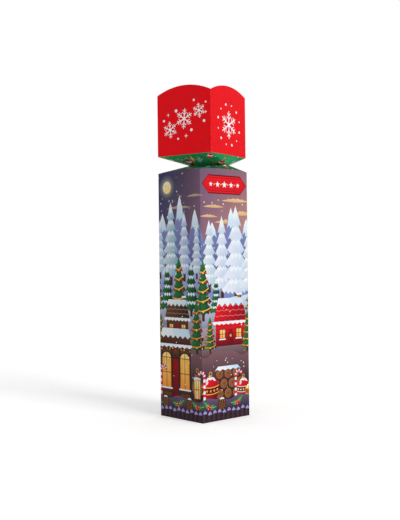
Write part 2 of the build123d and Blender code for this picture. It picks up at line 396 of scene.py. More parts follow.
def holly(art, x, y, size, turn=0.0):
    """Two spined leaves and three berries."""
    sprig = Stamp(art, x, y, size, size)
    for lean in (-HOLLY_LEAN, HOLLY_LEAN):
        def spot(a, b):
            return turned((a, b), turn + math.pi / 2 + lean)
        outline = [spot(a, b) for a, b in HOLLY_EDGE] + [spot(a, -b) for a, b in HOLLY_EDGE[-2::-1]]
        sprig.lay(outline, sprig.fade(LEAF, FIR, *spot(0.2, 0.3), *spot(0.9, -0.3)))
        sprig.line([spot(0.1, 0), spot(1.1, 0)], 0.05, mix(LEAF, WHITE, 0.35))
    for u, v in arc(0, 0, 0.17, 0.17, [turn + 0.4 + 2.1 * k for k in range(3)]):
        sprig.oval(u, v, 0.18, sprig.fade(RED, DEEP_RED, u - 0.1, v + 0.1, u + 0.1, v - 0.14), sides=12)
        sprig.oval(u - 0.06, v + 0.07, 0.045, WHITE, sides=6)


LOG_RADIUS = 5.2
LOG_RINGS = (0.88, 0.7, 0.64, 0.46, 0.4, 0.22)
LOG_ROW = 1.76


def log_end(art, x, y):
    """Sawn end of a log with bark, year rings and a drying crack."""
    log = Stamp(art, x, y, LOG_RADIUS, LOG_RADIUS)
    log.oval(0, 0, 1, BARK_DARK, sides=20)
    wood = log.fade(LOG_WOOD, LOG_SHADE, -1, 1, 1, -1)
    for k, share in enumerate(LOG_RINGS):
        log.oval(0, 0, share, LOG_RING if k % 2 else wood, sides=16)
    log.line([(0, 0), (0.5, 0.42)], 0.1, BARK, 0.03)


def woodpile(art, x, foot, rows):
    """Stack of logs under a cap of snow."""
    pile = Stamp(art, x, foot, LOG_RADIUS, LOG_RADIUS)
    for row, count in enumerate(rows):
        for k in range(count):
            log_end(art, *pile.at(1.01 * (2 * k + 1 - count), 1 + LOG_ROW * row))
    top, half = 1.9 + LOG_ROW * (len(rows) - 1), rows[-1]
    pile.snow(1.08 * half, 5, top - 0.34, top - 0.05, 0.8 * half, top + 0.45,
              pile.fade(WHITE, ICE, -half, top, half, top))


CABIN_WIDE, CABIN_TALL = 42, 66
CURTAIN = ((1.0, 0.0), (0.72, 0.1), (0.62, 0.42), (0.4, 0.8), (0.06, 1.0), (1.0, 1.0))
SHINGLE = ink(120, 66, 44)


def arched_window(art, x, sill, reach, tall):
    """Tall lit window with a round head, curtains, glazing bars and a snowy sill."""
    pane, bow, mm = Stamp(art, x, sill, reach, tall), reach / tall, 1 / tall
    pane.lay([(-1.18, -0.8 * mm), (1.18, -0.8 * mm)] + arc(0, 1, 1.18, bow, HALF_TURN), BARK_DARK)
    pane.lay([(-1, 0), (1, 0)] + arc(0, 1, 1, 0.8 * bow, HALF_TURN),
             pane.fade(ORANGE, GLOW, 0, 0, 0, 1 + bow))
    for side in (-1, 1):
        pane.lay([(side * u, v) for u, v in CURTAIN], pane.fade(AMBER, ORANGE, 0, 1, 0, 0))
    pane.box(-0.35 / reach, 0, 0.7 / reach, 1 + 0.8 * bow, TIMBER_DARK)
    for level in (0.5, 1):
        pane.box(-1, level - 0.3 * mm, 2, 0.6 * mm, TIMBER_DARK)
    pane.box(-1.3, -1.6 * mm, 2.6, 1.5 * mm, SNOW)


def cabin(art, x, foot):
    """Timber cabin front with large lit windows, a door and a string of lights."""
    half, mm = CABIN_WIDE / 2, 1 / CABIN_TALL
    eaves, wall, logs, bulbs = 0.76, 0.78, 9, 11
    front = Stamp(art, x, foot, half, CABIN_TALL)
    for k in range(logs):
        level = wall * k / logs
        front.box(-1, level, 2, wall / logs, front.fade(TIMBER, TIMBER_DARK, 0, level + 0.06, 0, level))
    for post in (-1.0, -0.3, 0.24, 0.92):
        front.box(post, 0, 0.09, wall, TIMBER_DARK)
    for place in (-0.62, 0.62):
        arched_window(art, *front.at(place, 0.16), half * 0.3, CABIN_TALL * 0.42)
    rim, wreath = 0.7 / half, 0.1296
    rise = wreath * half * mm
    front.box(-0.18 - rim, 0, 0.36 + 2 * rim, 0.6, BARK_DARK)
    front.box(-0.18, 0, 0.36, 0.57, front.fade(DEEP_RED, WINE, -0.36, 0.5, 0.36, 0))
    front.line(arc(0, 0.4, wreath, rise, WREATH), 0.0576, FIR_LIGHT)
    front.oval(0, 0.4 + rise, 0.0396, RED, sides=8)
    front.lay([(-1.06, eaves), (1.06, eaves), (0.92, 0.95), (-0.92, 0.95)],
              front.fade(SHINGLE, TIMBER_DARK, 0, 1, 0, eaves))
    front.snow(1.08, 7, eaves - 0.8 * mm, eaves - 2.4 * mm, 1.08, eaves + 1.2 * mm, SNOW)
    front.snow(1, 6, 0.9, 0.86, 0.9, 1, front.fade(WHITE, ICE, -1, 0, 1, 0))
    for k in range(bulbs):
        u = -1 + 2 * k / (bulbs - 1)
        hang = (3.4 + 0.9 * math.cos(6 * math.pi * u)) * mm
        front.oval(0.96 * u, eaves - hang, 0.75 / half, (GLOW, RED, LEAF, AMBER)[k % 4], sides=8)


def cloud(art, x, y, wide, thick, paint):
    """Long thin bank of cloud with a rippled top."""
    bank = Stamp(art, x, y, wide, thick)
    top = [(0.5 - k / 12, math.sin(math.pi * k / 12) * (1.0 if k % 2 else 0.72)) for k in range(13)]
    low = [(-0.5 + k / 6, -0.3 * math.sin(math.pi * k / 6)) for k in range(1, 6)]
    bank.lay(low + top, paint)


def ridge(art, heights, paint, foot=-2.0):
    """Ground or hill line through (distance, height) points, filled down to foot."""
    art.lay([(heights[-1][0], foot)] + heights[::-1] + [(heights[0][0], foot)], paint)


def rolling(base, swing, waves, start, step=3.0):
    """A hill line along the whole blank, the same at both ends."""
    count = int((BLANK_END - BLANK_START) / step)
    line = []
    for k in range(count + 1):
        long_wave = math.sin(2 * math.pi * (waves * k / count + start))
        short_wave = math.sin(2 * math.pi * (2 * waves * k / count + start * 3))
        line.append((BLANK_START + step * k, base + swing * (long_wave + 0.4 * short_wave)))
    return line


def peaks(base, tops):
    """A jagged mountain line through (distance, height) tops."""
    line = [(BLANK_START, base)]
    for x, height in tops:
        if line[-1][0] < x - 9:
            line.append((x - 9, base + height * 0.45))
        line += [(x - 3, base + height * 0.86), (x, base + height), (x + 4, base + height * 0.8)]
    return line + [(BLANK_END, base)]


# The winter evening printed round the body: places along the blank, heights and sizes in mm

ZENITH = ((-60, ink(52, 52, 92)), (0, ink(48, 59, 96)), (42, ink(86, 71, 93)), (63, ink(122, 92, 120)),
          (120, ink(150, 110, 125)), (180, ink(52, 52, 92)))
HORIZON = ((-60, ink(118, 90, 122)), (0, ink(96, 84, 118)), (42, ink(132, 104, 124)),
           (63, ink(156, 114, 122)), (105, ink(212, 156, 128)), (120, ink(218, 164, 134)),
           (180, ink(118, 90, 122)))
SKY_LOW, SKY_HIGH = 118.0, 226.0
MOON = (13.0, 216.0)
MOON_RADIUS = 5.8
MOON_HALO = ((11.5, 0.06), (9.4, 0.13), (7.6, 0.24))
CRATERS = ((-1.7, 1.6, 1.1), (1.9, -1.4, 0.8), (-0.6, -2.7, 0.6), (2.4, 2.3, 0.5))
STARS = 46
STAR_PLACES, STAR_LEVELS, STAR_RADII = (-58, 56), (186, 228), (0.5, 1.4)
MOON_CLEARANCE = 12
CLOUDS = ((104, 202, 36, 3.0), (76, 196, 26, 2.4), (112, 190, 26, 3.4), (70, 187, 22, 2.2),
          (94, 182, 34, 3.2), (138, 198, 40, 3.2), (150, 184, 30, 3.0), (-20, 190, 34, 3.0),
          (30, 196, 36, 2.4), (52, 206, 22, 2.0), (-44, 200, 22, 2.4), (168, 206, 20, 2.2))
MOUNTAIN_BASE = 146
MOUNTAINS = ((-48, 32), (-20, 48), (6, 46), (31, 62), (52, 48), (74, 36), (98, 50), (118, 40), (140, 44),
             (164, 36))
FROSTED_FIRS = ((-52, 128, 22, 52), (-34, 124, 28, 66), (-14, 128, 20, 50), (2, 130, 22, 56),
                (18, 124, 32, 78), (37, 128, 26, 64), (54, 130, 20, 50), (70, 118, 26, 66),
                (86, 112, 30, 76), (104, 106, 42, 92), (121, 112, 30, 72), (138, 118, 28, 64),
                (156, 126, 20, 50), (171, 124, 26, 58))
FROST = (ink(150, 188, 226), ink(104, 164, 192), ink(130, 160, 212))
PINES = ((-55, 98, 24, 44), (-38, 94, 28, 54), (-20, 98, 22, 42), (-4, 95, 26, 50), (12, 97, 24, 46),
         (29, 93, 30, 58), (46, 96, 26, 50), (62, 92, 28, 56), (78, 95, 18, 36), (126, 94, 26, 48),
         (143, 96, 22, 42), (160, 93, 28, 52), (175, 97, 22, 42))
VILLAGE_FIRS = ((-52, 62, 22, 42), (53, 60, 26, 50), (70, 62, 18, 34), (118, 60, 20, 40), (176, 62, 20, 40),
                (2, 62, 18, 36))
BAUBLES = ((70, 30, 11, RED, WINE, AMBER), (112, 27, 9, RED, WINE, CREAM), (-14, 31, 12, RED, WINE, AMBER),
           (-56, 27, 6, AMBER, GOLD_SHADE, DEEP_RED), (120, 24, 6, AMBER, GOLD_SHADE, WINE))
CANES = ((62.5, 28, -1), (102, 26, 1), (1.5, 30, 1), (162, 30, 1), (-28, 26, 1))
CONES = ((42, 9, 9, 12), (84, 9, 10, 12), (127, 9, 10, 12), (8, 9, 9, 11), (-18, 8, 10, 12), (155, 8, 10, 12))
SPRIGS = ((104, 14, 8, 0.3), (68, 13, 8, -0.4), (27, 13, 8, 0.2), (53, 13, 8, -0.2), (-36, 13, 8, 0.4),
          (142, 13, 8, 0.0), (172, 13, 8, 0.3), (-4, 12, 7, -0.3))
PICKETS = 40
PICKET_LIGHT, PICKET_DARK = ink(80, 54, 60), ink(38, 25, 34)
SNOWFALL = 230
SNOWFALL_LEVELS, SNOWFALL_RADII = (24, 206), (0.25, 0.7)


def shade_at(stops, place):
    for (a, first), (b, second) in zip(stops, stops[1:]):
        if place <= b:
            return mix(first, second, (place - a) / (b - a))
    return stops[-1][1]


def sky(x, y):
    return mix(shade_at(HORIZON, x), shade_at(ZENITH, x), clamp((y - SKY_LOW) / (SKY_HIGH - SKY_LOW)))


def draw_sky(art):
    moon = Stamp(art, *MOON)
    for reach, share in MOON_HALO:
        moon.oval(0, 0, reach, mix(ZENITH[1][1], CREAM, share), sides=28)
    moon.oval(0, 0, MOON_RADIUS, moon.fade(CREAM, GLOW, -3, 4, 3, -4), sides=32)
    for x, y, reach in CRATERS:
        moon.oval(x, y, reach, mix(GLOW, TAN, 0.3), sides=12)
    for _ in range(STARS):
        spot = (dice.uniform(*STAR_PLACES), dice.uniform(*STAR_LEVELS))
        if math.dist(spot, MOON) > MOON_CLEARANCE:
            star(art, *spot, dice.uniform(*STAR_RADII), mix(GLOW, WHITE, dice.random()), 4, 0.26)
    for x, y, wide, thick in CLOUDS:
        warm = mix(sky(x, y), AMBER, 0.62 if 60 < x < 150 else 0.2)
        cloud(art, x, y, wide, thick, fade(warm, mix(warm, CREAM, 0.4), x, y - thick, x, y + thick))


def draw_mountains(art):
    slope = fade(ink(140, 146, 196), ink(92, 100, 154), 0, 190, 0, 142)
    ridge(art, peaks(MOUNTAIN_BASE, MOUNTAINS), slope, 100)
    for x, height in MOUNTAINS:
        cap, top = Stamp(art, x, MOUNTAIN_BASE + height * 0.62), height * 0.38
        edge = [(-5.0, 0), (-2.4, 2.6), (-0.4, -0.8), (2.2, 2.2), (5.6, -0.4)]
        cap.lay(edge + [(3.6, height * 0.2), (0, top), (-2.9, height * 0.24)],
                cap.fade(WHITE, ICE, -3, top, 4, 0))
    ridge(art, rolling(139, 3.5, 3, 0.1), fade(ink(196, 204, 236), ink(120, 134, 190), 0, 146, 0, 112), 80)


def draw_firs(art):
    """Frosted firs under the mountains, and the dark green wood with garlands before them."""
    for k, (x, foot, wide, tall) in enumerate(FROSTED_FIRS):
        shade = mix(FROST[k % 3], SNOW, 0.45 if 60 < x < 125 else 0.1)
        rime = fade(WHITE, mix(WHITE, ICE, 0.6), x - wide * 0.2, 0, x + wide * 0.2, 0)
        fir(art, x, foot, wide, tall, 6, WHITE, shade, rime)
    ridge(art, rolling(112, 3.0, 4, 0.35), fade(ink(214, 224, 244), ink(96, 96, 128), 0, 116, 0, 78), 60)
    for k, (x, foot, wide, tall) in enumerate(PINES):
        dress = (None, AMBER) if k % 2 else (mix(SNOW, ICE, 0.3), None)
        fir(art, x, foot, wide, tall, 5, FIR_LIGHT, FIR_DARK, *dress)


def draw_village(art):
    ridge(art, rolling(88, 2.5, 4, 0.62), fade(ink(178, 160, 178), DUSK_BROWN, 0, 90, 0, 58), 20)
    cottage(art, 96, 68, 44, 48, RED, WINE, RED, DEEP_RED)
    cottage(art, 26, 76, 36, 38, TIMBER, TIMBER_DARK, ink(112, 74, 48), TIMBER_DARK)
    cottage(art, 152, 76, 40, 40, TIMBER, TIMBER_DARK, ink(92, 84, 130), PLUM)
    cottage(art, -26, 68, 38, 42, ink(150, 40, 40), WINE, ink(120, 70, 46), TIMBER_DARK)
    for tree in VILLAGE_FIRS:
        fir(art, *tree, 5, FIR_LIGHT, FIR_DARK, None, ORANGE)


def draw_foreground(art):
    ridge(art, rolling(62, 2.5, 5, 0.2), fade(ink(128, 92, 100), DUSK_DEEP, 0, 64, 0, 34))
    for x in (23, 146):
        cabin(art, x, 18)
    for x in (53, 174):
        lantern(art, x, 19)
    woodpile(art, 92, 19, (5, 4, 3))
    woodpile(art, -40, 19, (4, 3, 2))
    for ball in BAUBLES:
        bauble(art, *ball)
    for x, tall, face in CANES:
        cane(art, x, 18, tall, face)


def draw_fence(art):
    ridge(art, rolling(20, 1.4, 6, 0.0), fade(ink(104, 84, 112), ink(44, 32, 50), 0, 21, 0, 8))
    for place in CONES:
        pine_cone(art, *place)
    for place in SPRIGS:
        holly(art, *place)
    rail_light, rail_dark, thick = ink(70, 48, 62), ink(38, 24, 34), 1.3
    for rail in (1.8, 5.4):
        art.lay(box(BLANK_START - 1, rail, BLANK_END - BLANK_START + 2, thick),
                fade(rail_light, rail_dark, 0, rail + thick, 0, rail))
    pitch = (BLANK_END - BLANK_START) / PICKETS
    wide = pitch * 0.66
    for k in range(PICKETS):
        picket = Stamp(art, BLANK_START + pitch * (k + 0.15), 0)
        tall = 8.2 + 0.7 * math.sin(k * 2.3)
        picket.lay([(0, -2), (wide, -2), (wide, tall), (wide / 2, tall + 2), (0, tall)],
                   picket.fade(PICKET_LIGHT, PICKET_DARK, 0, 0, wide, 0))
        drift = [(-0.2, -0.5), (wide * 0.3, -1.2), (wide * 0.7, -0.6), (wide + 0.2, -1),
                 (wide + 0.2, 0.4), (wide / 2, 2.4), (-0.2, 0.4)]
        picket.lay([(u, tall + v) for u, v in drift], LAVENDER)


def draw_plaque(art):
    """Long six-sided plate at the top of the right panel with a row of stars."""
    left, right, low, high = 61.8, 118.4, 208.2, 225.6
    middle, centre, pitch = (low + high) / 2, (left + right) / 2, 8.6
    gloss = fade(RED, ink(214, 22, 32), 0, high, 0, low)
    for inset, paint in ((0.0, WINE), (1.0, RED), (2.3, DEEP_RED), (2.8, gloss)):
        point = 8 - inset * 0.4
        art.lay([(left + inset, middle), (left + point, low + inset), (right - point, low + inset),
                 (right - inset, middle), (right - point, high - inset), (left + point, high - inset)], paint)
    for k in range(-2, 3):
        star(art, centre + k * pitch, middle, 3.4 - 0.5 * abs(k), WHITE, 5, 0.44)
    for k in (-1.5, -0.5, 0.5, 1.5):
        art.lay(oval(centre + k * pitch, middle, 0.7, sides=8), GLOW)


def body_print():
    art = Print(sky)
    for draw in (draw_sky, draw_mountains, draw_firs, draw_village, draw_foreground, draw_fence):
        draw(art)
    for _ in range(SNOWFALL):
        spot = (dice.uniform(BLANK_START + 1, BLANK_END - 1), dice.uniform(*SNOWFALL_LEVELS))
        art.lay(oval(*spot, dice.uniform(*SNOWFALL_RADII), sides=7), WHITE)
    draw_plaque(art)
    return art


# The red print of the flare: three flakes in a row, or one large flake on the right panel

FLARE_FLAKES = ((15, 24, 8, 0.1), (31, 33, 9.5, -0.08), (47.5, 39, 7, 0.12))
FLARE_DOTS = ((8, 33, 1.2), (22, 41, 1.5), (39, 22, 1.4), (53, 29, 1.3), (24, 15, 1.0), (42, 49, 1.1),
              (55, 46, 0.9))
FLARE_STARS = ((33, 17, 2.4), (13, 38, 2.0), (55, 37, 1.8))
LARGE_FLAKE = (FLARE_SIDE * 1.5, 28)
LARGE_FLAKE_RADIUS = 13
DOT_RING = 19


def flare_print():
    art = Print(fade(ink(239, 10, 24), ink(236, 10, 22), 0, FLARE_HEIGHT, 0, 0))
    for panel in (-1, 0, 2):
        start = panel * FLARE_SIDE
        for x, y, radius, turn in FLARE_FLAKES:
            snowflake(art, start + x, y, radius, WHITE, turn)
        for x, y, radius in FLARE_DOTS:
            art.lay(oval(start + x, y, radius, sides=12), WHITE)
        for x, y, radius in FLARE_STARS:
            star(art, start + x, y, radius, WHITE, 4, 0.24)
    snowflake(art, *LARGE_FLAKE, LARGE_FLAKE_RADIUS, WHITE)
    ring = arc(*LARGE_FLAKE, DOT_RING, DOT_RING, [math.pi * (k + 0.5) / 6 for k in range(12)])
    for k, spot in enumerate(ring):
        art.lay(oval(*spot, 1.2 if k % 2 else 0.8, sides=12), WHITE)
    return art


# Folding the flat blank

class Tube:
    """A square tube folded from a strip, with rounded corners; depth is measured in from its printed face."""

    def __init__(self, side, turn, level, rise, top):
        self.side, self.turn, self.level, self.rise, self.top = side, turn, level, rise, top
        self.starts = [panel * side for panel in range(FIRST_PANEL, FIRST_PANEL + PANELS)]
        self.end = self.starts[-1] + side

    def place(self, s, depth):
        """Plan position and outward direction at a distance along the strip."""
        panel = min(FIRST_PANEL + PANELS - 1, max(FIRST_PANEL, math.floor(s / self.side)))
        p = s - panel * self.side
        half = self.side / 2
        if p < FOLD_RADIUS:
            lean, edge = -math.pi / 4 * (1 - p / FOLD_RADIUS), FOLD_RADIUS - half
        elif p > self.side - FOLD_RADIUS:
            lean, edge = math.pi / 4 * (p - self.side + FOLD_RADIUS) / FOLD_RADIUS, half - FOLD_RADIUS
        else:
            lean, edge = 0.0, p - half
        facing = (math.sin(lean), -math.cos(lean))
        reach = FOLD_RADIUS - depth
        spot = (edge + reach * facing[0], FOLD_RADIUS - half + reach * facing[1])
        angle = panel * math.pi / 2 + self.turn
        return turned(spot, angle), turned(facing, angle)

    def crest(self, s):
        """Height of the bowed upper edge above the strip's foot."""
        radius = (self.side ** 2 / 4 + self.rise ** 2) / (2 * self.rise)
        p = s % self.side - self.side / 2
        return self.top + math.sqrt(radius ** 2 - p ** 2) - radius + self.rise

    def stations(self, steps=20):
        """Distances along the strip at which its edges have points: folds and an even spread."""
        marks = set()
        for start in self.starts:
            for share in (0, 0.5, 1):
                marks |= {start + share * FOLD_RADIUS, start + self.side - share * FOLD_RADIUS}
            marks.update(start + self.side * k / steps for k in range(1, steps))
        return sorted({round(mark, 6) for mark in marks})

    def folds(self):
        bends = (0, FOLD_RADIUS / 2, FOLD_RADIUS, self.side - FOLD_RADIUS, self.side - FOLD_RADIUS / 2)
        return [start + bend for start in self.starts for bend in bends][1:]

    def crease(self, s):
        """1 on a corner fold, falling to 0 beside it."""
        p = s % self.side
        return max(0.0, 1 - min(p, self.side - p) / FOLD_RADIUS)


# Cutting a printed sheet into triangles

CDT_INSIDE = 1
CDT_REACH = 1e-5


def triangulate(outline, hole, guides, art):
    """Points of a flat sheet and its triangles, each with the ink on top of it."""
    points, edges, faces = [], [], []
    sheet = [(outline, art.base)] + ([(hole, None)] if hole else []) + art.shapes
    for loop, _ in sheet:
        faces.append(list(range(len(points), len(points) + len(loop))))
        points.extend(Vector(p) for p in loop)
    for line in guides:
        edges += [(len(points) + k, len(points) + k + 1) for k in range(len(line) - 1)]
        points.extend(Vector(p) for p in line)
    flat, _, triangles, _, _, owners = delaunay_2d_cdt(points, edges, faces, CDT_INSIDE, CDT_REACH, True)
    kept = [(triangle, sheet[max(own)][1]) for triangle, own in zip(triangles, owners)
            if 0 in own and not (hole and 1 in own)]
    used = sorted({k for triangle, _ in kept for k in triangle})
    renumbered = {k: place for place, k in enumerate(used)}
    return ([tuple(flat[k]) for k in used],
            [(tuple(renumbered[k] for k in triangle), paint) for triangle, paint in kept])


def rims(triangles):
    """Open edges of a layer, chained into loops, the longest first."""
    sides = {(a, b) for t, _ in triangles for a, b in zip(t, t[1:] + t[:1])}
    ahead = {a: b for a, b in sides if (b, a) not in sides}
    loops = []
    while ahead:
        start, here = ahead.popitem()
        loop = [start]
        while here != start:
            loop.append(here)
            here = ahead.pop(here)
        loops.append(loop)
    return sorted(loops, key=len, reverse=True)


def round_from(loop, flat, start):
    """A loop's points from the one nearest to start, each after its share of the way round."""
    first = min(range(len(loop)), key=lambda k: math.dist(flat[loop[k]], start))
    order = loop[first:] + loop[:first]
    ways, run = [], 0.0
    for a, b in zip(order, order[1:] + order[:1]):
        ways.append(run)
        run += math.dist(flat[a], flat[b])
    return [(way / run, k) for way, k in zip(ways, order)]


def cut_edge(outer, inner, shift):
    """Triangles between an outer loop and an inner one, whose points are numbered from shift.

    Each corner is (share of the way round, 0 on the outer loop or 1 on the inner, point).
    """
    outer = [(way, 0, k) for way, k in outer + [(1.0, outer[0][1])]]
    inner = [(way, 1, k + shift) for way, k in inner + [(1.0, inner[0][1])]]
    found, i, j = [], 0, 0
    while i < len(outer) - 1 or j < len(inner) - 1:
        if j == len(inner) - 1 or (i < len(outer) - 1 and outer[i + 1][0] <= inner[j + 1][0]):
            found.append((outer[i + 1], outer[i], inner[j]))
            i += 1
        else:
            found.append((outer[i], inner[j], inner[j + 1]))
            j += 1
    return found


def add_piece(name, mesh):
    piece = bpy.data.objects.new(name, mesh)
    bpy.context.collection.objects.link(piece)
    return piece


def card_piece(name, outer, inner, cuts, seat_outer, seat_inner, shade, flip, materials, chart=None):
    """Mesh of a folded card: printed outer layer, plain inner layer and the cut edges between.

    cuts give each loop of cut edge its first points and its ink, or None for bare board; seat_* take a flat
    point to (position in mm, outward direction or None); shade gives the crease wear; chart takes a face's
    kind and flat points to their places on the map for baked pictures.
    """
    flat_out, tris_out = outer
    flat_in, tris_in = inner
    shift = len(flat_out)
    seats = [seat_outer(*p) for p in flat_out] + [seat_inner(*p) for p in flat_in]
    order = (0, 2, 1) if flip else (0, 1, 2)
    faces, inks, kinds, charted = [], [], [], []

    def keep(corners, colours, kind, spots):
        faces.append([corners[k] for k in order])
        inks.append([colours[k] for k in order])
        kinds.append(kind)
        if chart:
            places = chart(kind, spots)
            charted.extend(place for k in order for place in places[k])

    for triangle, paint in tris_out:
        spots = [flat_out[k] for k in triangle]
        keep(triangle, [paint(*spot) if callable(paint) else paint for spot in spots], "outer", spots)
    for triangle, _ in tris_in:
        back = triangle[::-1]
        keep([k + shift for k in back], [BOARD_WHITE] * 3, "inner", [flat_in[k] for k in back])
    for loop_out, loop_in, (start_out, start_in, paint) in zip(rims(tris_out), rims(tris_in), cuts):
        way_out, way_in = round_from(loop_out, flat_out, start_out), round_from(loop_in, flat_in, start_in)
        for corners in cut_edge(way_out, way_in, shift):
            keep([k for _, _, k in corners], [paint or BOARD_WHITE] * 3, "tear" if paint else "edge",
                 [(way, side) for way, side, _ in corners])

    mesh = bpy.data.meshes.new(name)
    mesh.from_pydata([Vector(spot) * MM for spot, _ in seats], [], faces)
    mesh.update(calc_edges=True)
    for material in materials:
        mesh.materials.append(material)
    colours, wear, normals = [], [], []
    for face, inked, kind in zip(mesh.polygons, inks, kinds):
        face.material_index = 0 if kind in ("outer", "tear") else 1
        for vertex, paint in zip(face.vertices, inked):
            colours += (*paint, 1.0)
            wear.append(shade(*flat_out[vertex]) if kind == "outer" else 0.0)
            facing = seats[vertex][1]
            if kind in ("edge", "tear") or facing is None:
                normals.append(face.normal.copy())
            else:
                normals.append(Vector(facing) * (1 if kind == "outer" else -1))
    mesh.color_attributes.new("print", "FLOAT_COLOR", "CORNER")
    mesh.attributes.new("crease", "FLOAT", "CORNER")
    mesh.attributes["print"].data.foreach_set("color", colours)
    mesh.attributes["crease"].data.foreach_set("value", wear)
    if chart:
        mesh.uv_layers.new(name=BAKE_MAP).uv.foreach_set("vector", charted)
    mesh.normals_split_custom_set(normals)
    return add_piece(name, mesh)


BAKE_MAP = "OFBake"
BAKE_BANDS = {"outer": (0.27, 0.998), "inner": (0.03, 0.262), "edge": (0.004, 0.022)}
BAKE_GAP, BAKE_ROW_GAP = 0.004, 0.03
GRID_MARGIN = 1.0
GRID_FIRST, GRID_STRIDE = 2, 4
PAST_FOLD = 0.01


def tube_piece(name, tube, art, foot, inner_drop, inner_lift, grid, chart_rows, materials):
    """A printed tube: its strip with the bowed upper edge, folded round.

    grid rows divide its print, and chart_rows is how many lengths its strip makes on the bake's map.
    """
    marks = tube.stations()

    def outline(drop, lift):
        low = []
        for a, b in zip(marks, marks[1:]):
            low += [(a, foot((a + b) / 2) + lift), (b, foot((a + b) / 2) + lift)]
        neat = [p for k, p in enumerate(low) if k == 0 or p != low[k - 1]]
        return neat + [(s, tube.crest(s) - drop) for s in reversed(marks)]

    def fold_lines(drop, lift):
        return [[(s, foot(s + PAST_FOLD) + lift), (s, tube.crest(s) - drop)] for s in tube.folds()]

    def grid_lines():
        levels = [tube.top * k / grid for k in range(1, grid)]
        return ([[(s, tube.crest(s) - CREASE_STRIP) for s in marks]]
                + [[(marks[0], level), (marks[-1], level)] for level in levels]
                + [[(s, GRID_MARGIN), (s, tube.top - GRID_MARGIN)] for s in marks[GRID_FIRST::GRID_STRIDE]])

    def seat(depth):
        def put(s, t):
            spot, facing = tube.place(s, depth)
            return (*spot, tube.level + t), (*facing, 0.0)
        return put

    def shade(s, t):
        return max(tube.crease(s), 1 - (tube.crest(s) - t) / CREASE_STRIP)

    def chart(kind, spots):
        """The print above, the plain inside in a lower band, the cut edge along the foot."""
        low, high = BAKE_BANDS[kind]
        if kind != "edge":
            start, length = marks[0], (marks[-1] - marks[0]) / chart_rows
            row = int((sum(s for s, _ in spots) / 3 - start) / length)
            tall = (tube.top + tube.rise) * (1 + BAKE_ROW_GAP)
            spots = [((s - start) / length - row, (row + t / tall) / chart_rows) for s, t in spots]
        return [(BAKE_GAP + (1 - 2 * BAKE_GAP) * u, low + (high - low) * v) for u, v in spots]
    outside, inside = outline(0, 0), outline(inner_drop, inner_lift)
    outer = triangulate(outside, None, fold_lines(0, 0) + grid_lines(), art)
    inner = triangulate(inside, None, fold_lines(inner_drop, inner_lift), Print(BOARD_WHITE))
    cuts = [(outside[0], inside[0], None)]
    return card_piece(name, outer, inner, cuts, seat(0), seat(BOARD), shade, False, materials, chart)


# The pinched neck, laid out in plan

def waist_corners():
    half, deep = WAIST_LENGTH / 2, WAIST_WIDTH / 2
    square = ((-half, -deep), (half, -deep), (half, deep), (-half, deep))
    return [turned((WAIST_SHIFT + u, v), PINCH_ANGLE) for u, v in square]


WAIST = waist_corners()
WAIST_CENTRE = turned((WAIST_SHIFT, 0), PINCH_ANGLE)


def side_of(a, b, p):
    return (b[0] - a[0]) * (p[1] - a[1]) - (b[1] - a[1]) * (p[0] - a[0])


def within(triangle, p, slack=SLACK):
    return all(side_of(a, b, p) >= -slack for a, b in zip(triangle, triangle[1:] + triangle[:1]))


class Neck:
    """Eight facets between a tube's square edge and the waist: four on the panels, four corner gussets."""

    def __init__(self, tube, edge_level, waist_level, bowed):
        self.tube, self.edge_level, self.waist_level, self.bowed = tube, edge_level, waist_level, bowed
        half = tube.side / 2
        square = ((-half, -half), (half, -half), (half, half), (-half, half))
        self.corners = [turned(p, tube.turn) for p in square]

    def edge_height(self, s):
        return self.edge_level + (self.tube.crest(s) - self.tube.top if self.bowed else 0.0)

    def height(self, p):
        """Height of the printed face over a plan point."""
        for k, w in enumerate(WAIST):
            a, b = self.corners[k], self.corners[(k + 1) % PANELS]
            if within([a, b, w], p):
                share = 1 - side_of(a, b, p) / side_of(a, b, w)
                if share < TINY:
                    return self.waist_level
                q = [w[i] + (p[i] - w[i]) / share for i in (0, 1)]
                s = min(self.tube.side, max(0.0, math.dist(q, a)))
                return self.waist_level + share * (self.edge_height(s) - self.waist_level)
        for k, c in enumerate(self.corners):
            w0, w1 = WAIST[k - 1], WAIST[k]
            if within([c, w1, w0], p, LOOSE) or within([c, w0, w1], p, LOOSE):
                share = side_of(w0, w1, p) / side_of(w0, w1, c)
                return self.waist_level + share * (self.edge_level - self.waist_level)
        return self.edge_level

    def fold_lines(self, depth, fans=10):
        """Creases from the corners to the waist, and lines that divide the panel facets evenly."""
        lines = []
        for k, start in enumerate(self.tube.starts[1:] + self.tube.starts[:1]):
            corner = self.tube.place(start, depth)[0]
            lines += [[corner, WAIST[k]], [corner, WAIST[k - 1]]]
            lines += [[self.tube.place(start + self.tube.side * step / fans, depth)[0], WAIST[k]]
                      for step in range(1, fans)]
        return lines


NEEDLES, NEEDLE_FIELD, NEEDLE_LEAN = 420, (-42, 42), (-0.6, 0.6)
NEEDLE_TINT, NEEDLE_LENGTH, NEEDLE_WIDTH, NEEDLE_TIP = (0.2, 0.45), (3.0, 7.0), (1.0, 2.4), 0.3
NECK_DOTS, DOT_FIELD, DOT_RADII = 70, (-40, 40), (0.4, 0.8)
DASH_PITCH, DASH_WIDTH, DASH_SPAN = 2.4, 0.5, (0.2, 0.8)
# Where the painted light round the waist starts to fade, and how far it fades
PAINTED_LIGHT_START, PAINTED_LIGHT_RUN = 6, 20
SLOPE_STRETCH = 2.1
EDGE_CLEARANCE = 1.2
SECOND_ROW = 4.5
MOTIF_ORDER = (1, 0, 2, 1, 3)
BAUBLE_BAND = ((-0.96, 0.06), (-0.5, -0.2), (0, -0.28), (0.5, -0.2), (0.96, 0.06), (0.9, 0.4), (0, 0.12),
               (-0.9, 0.4))


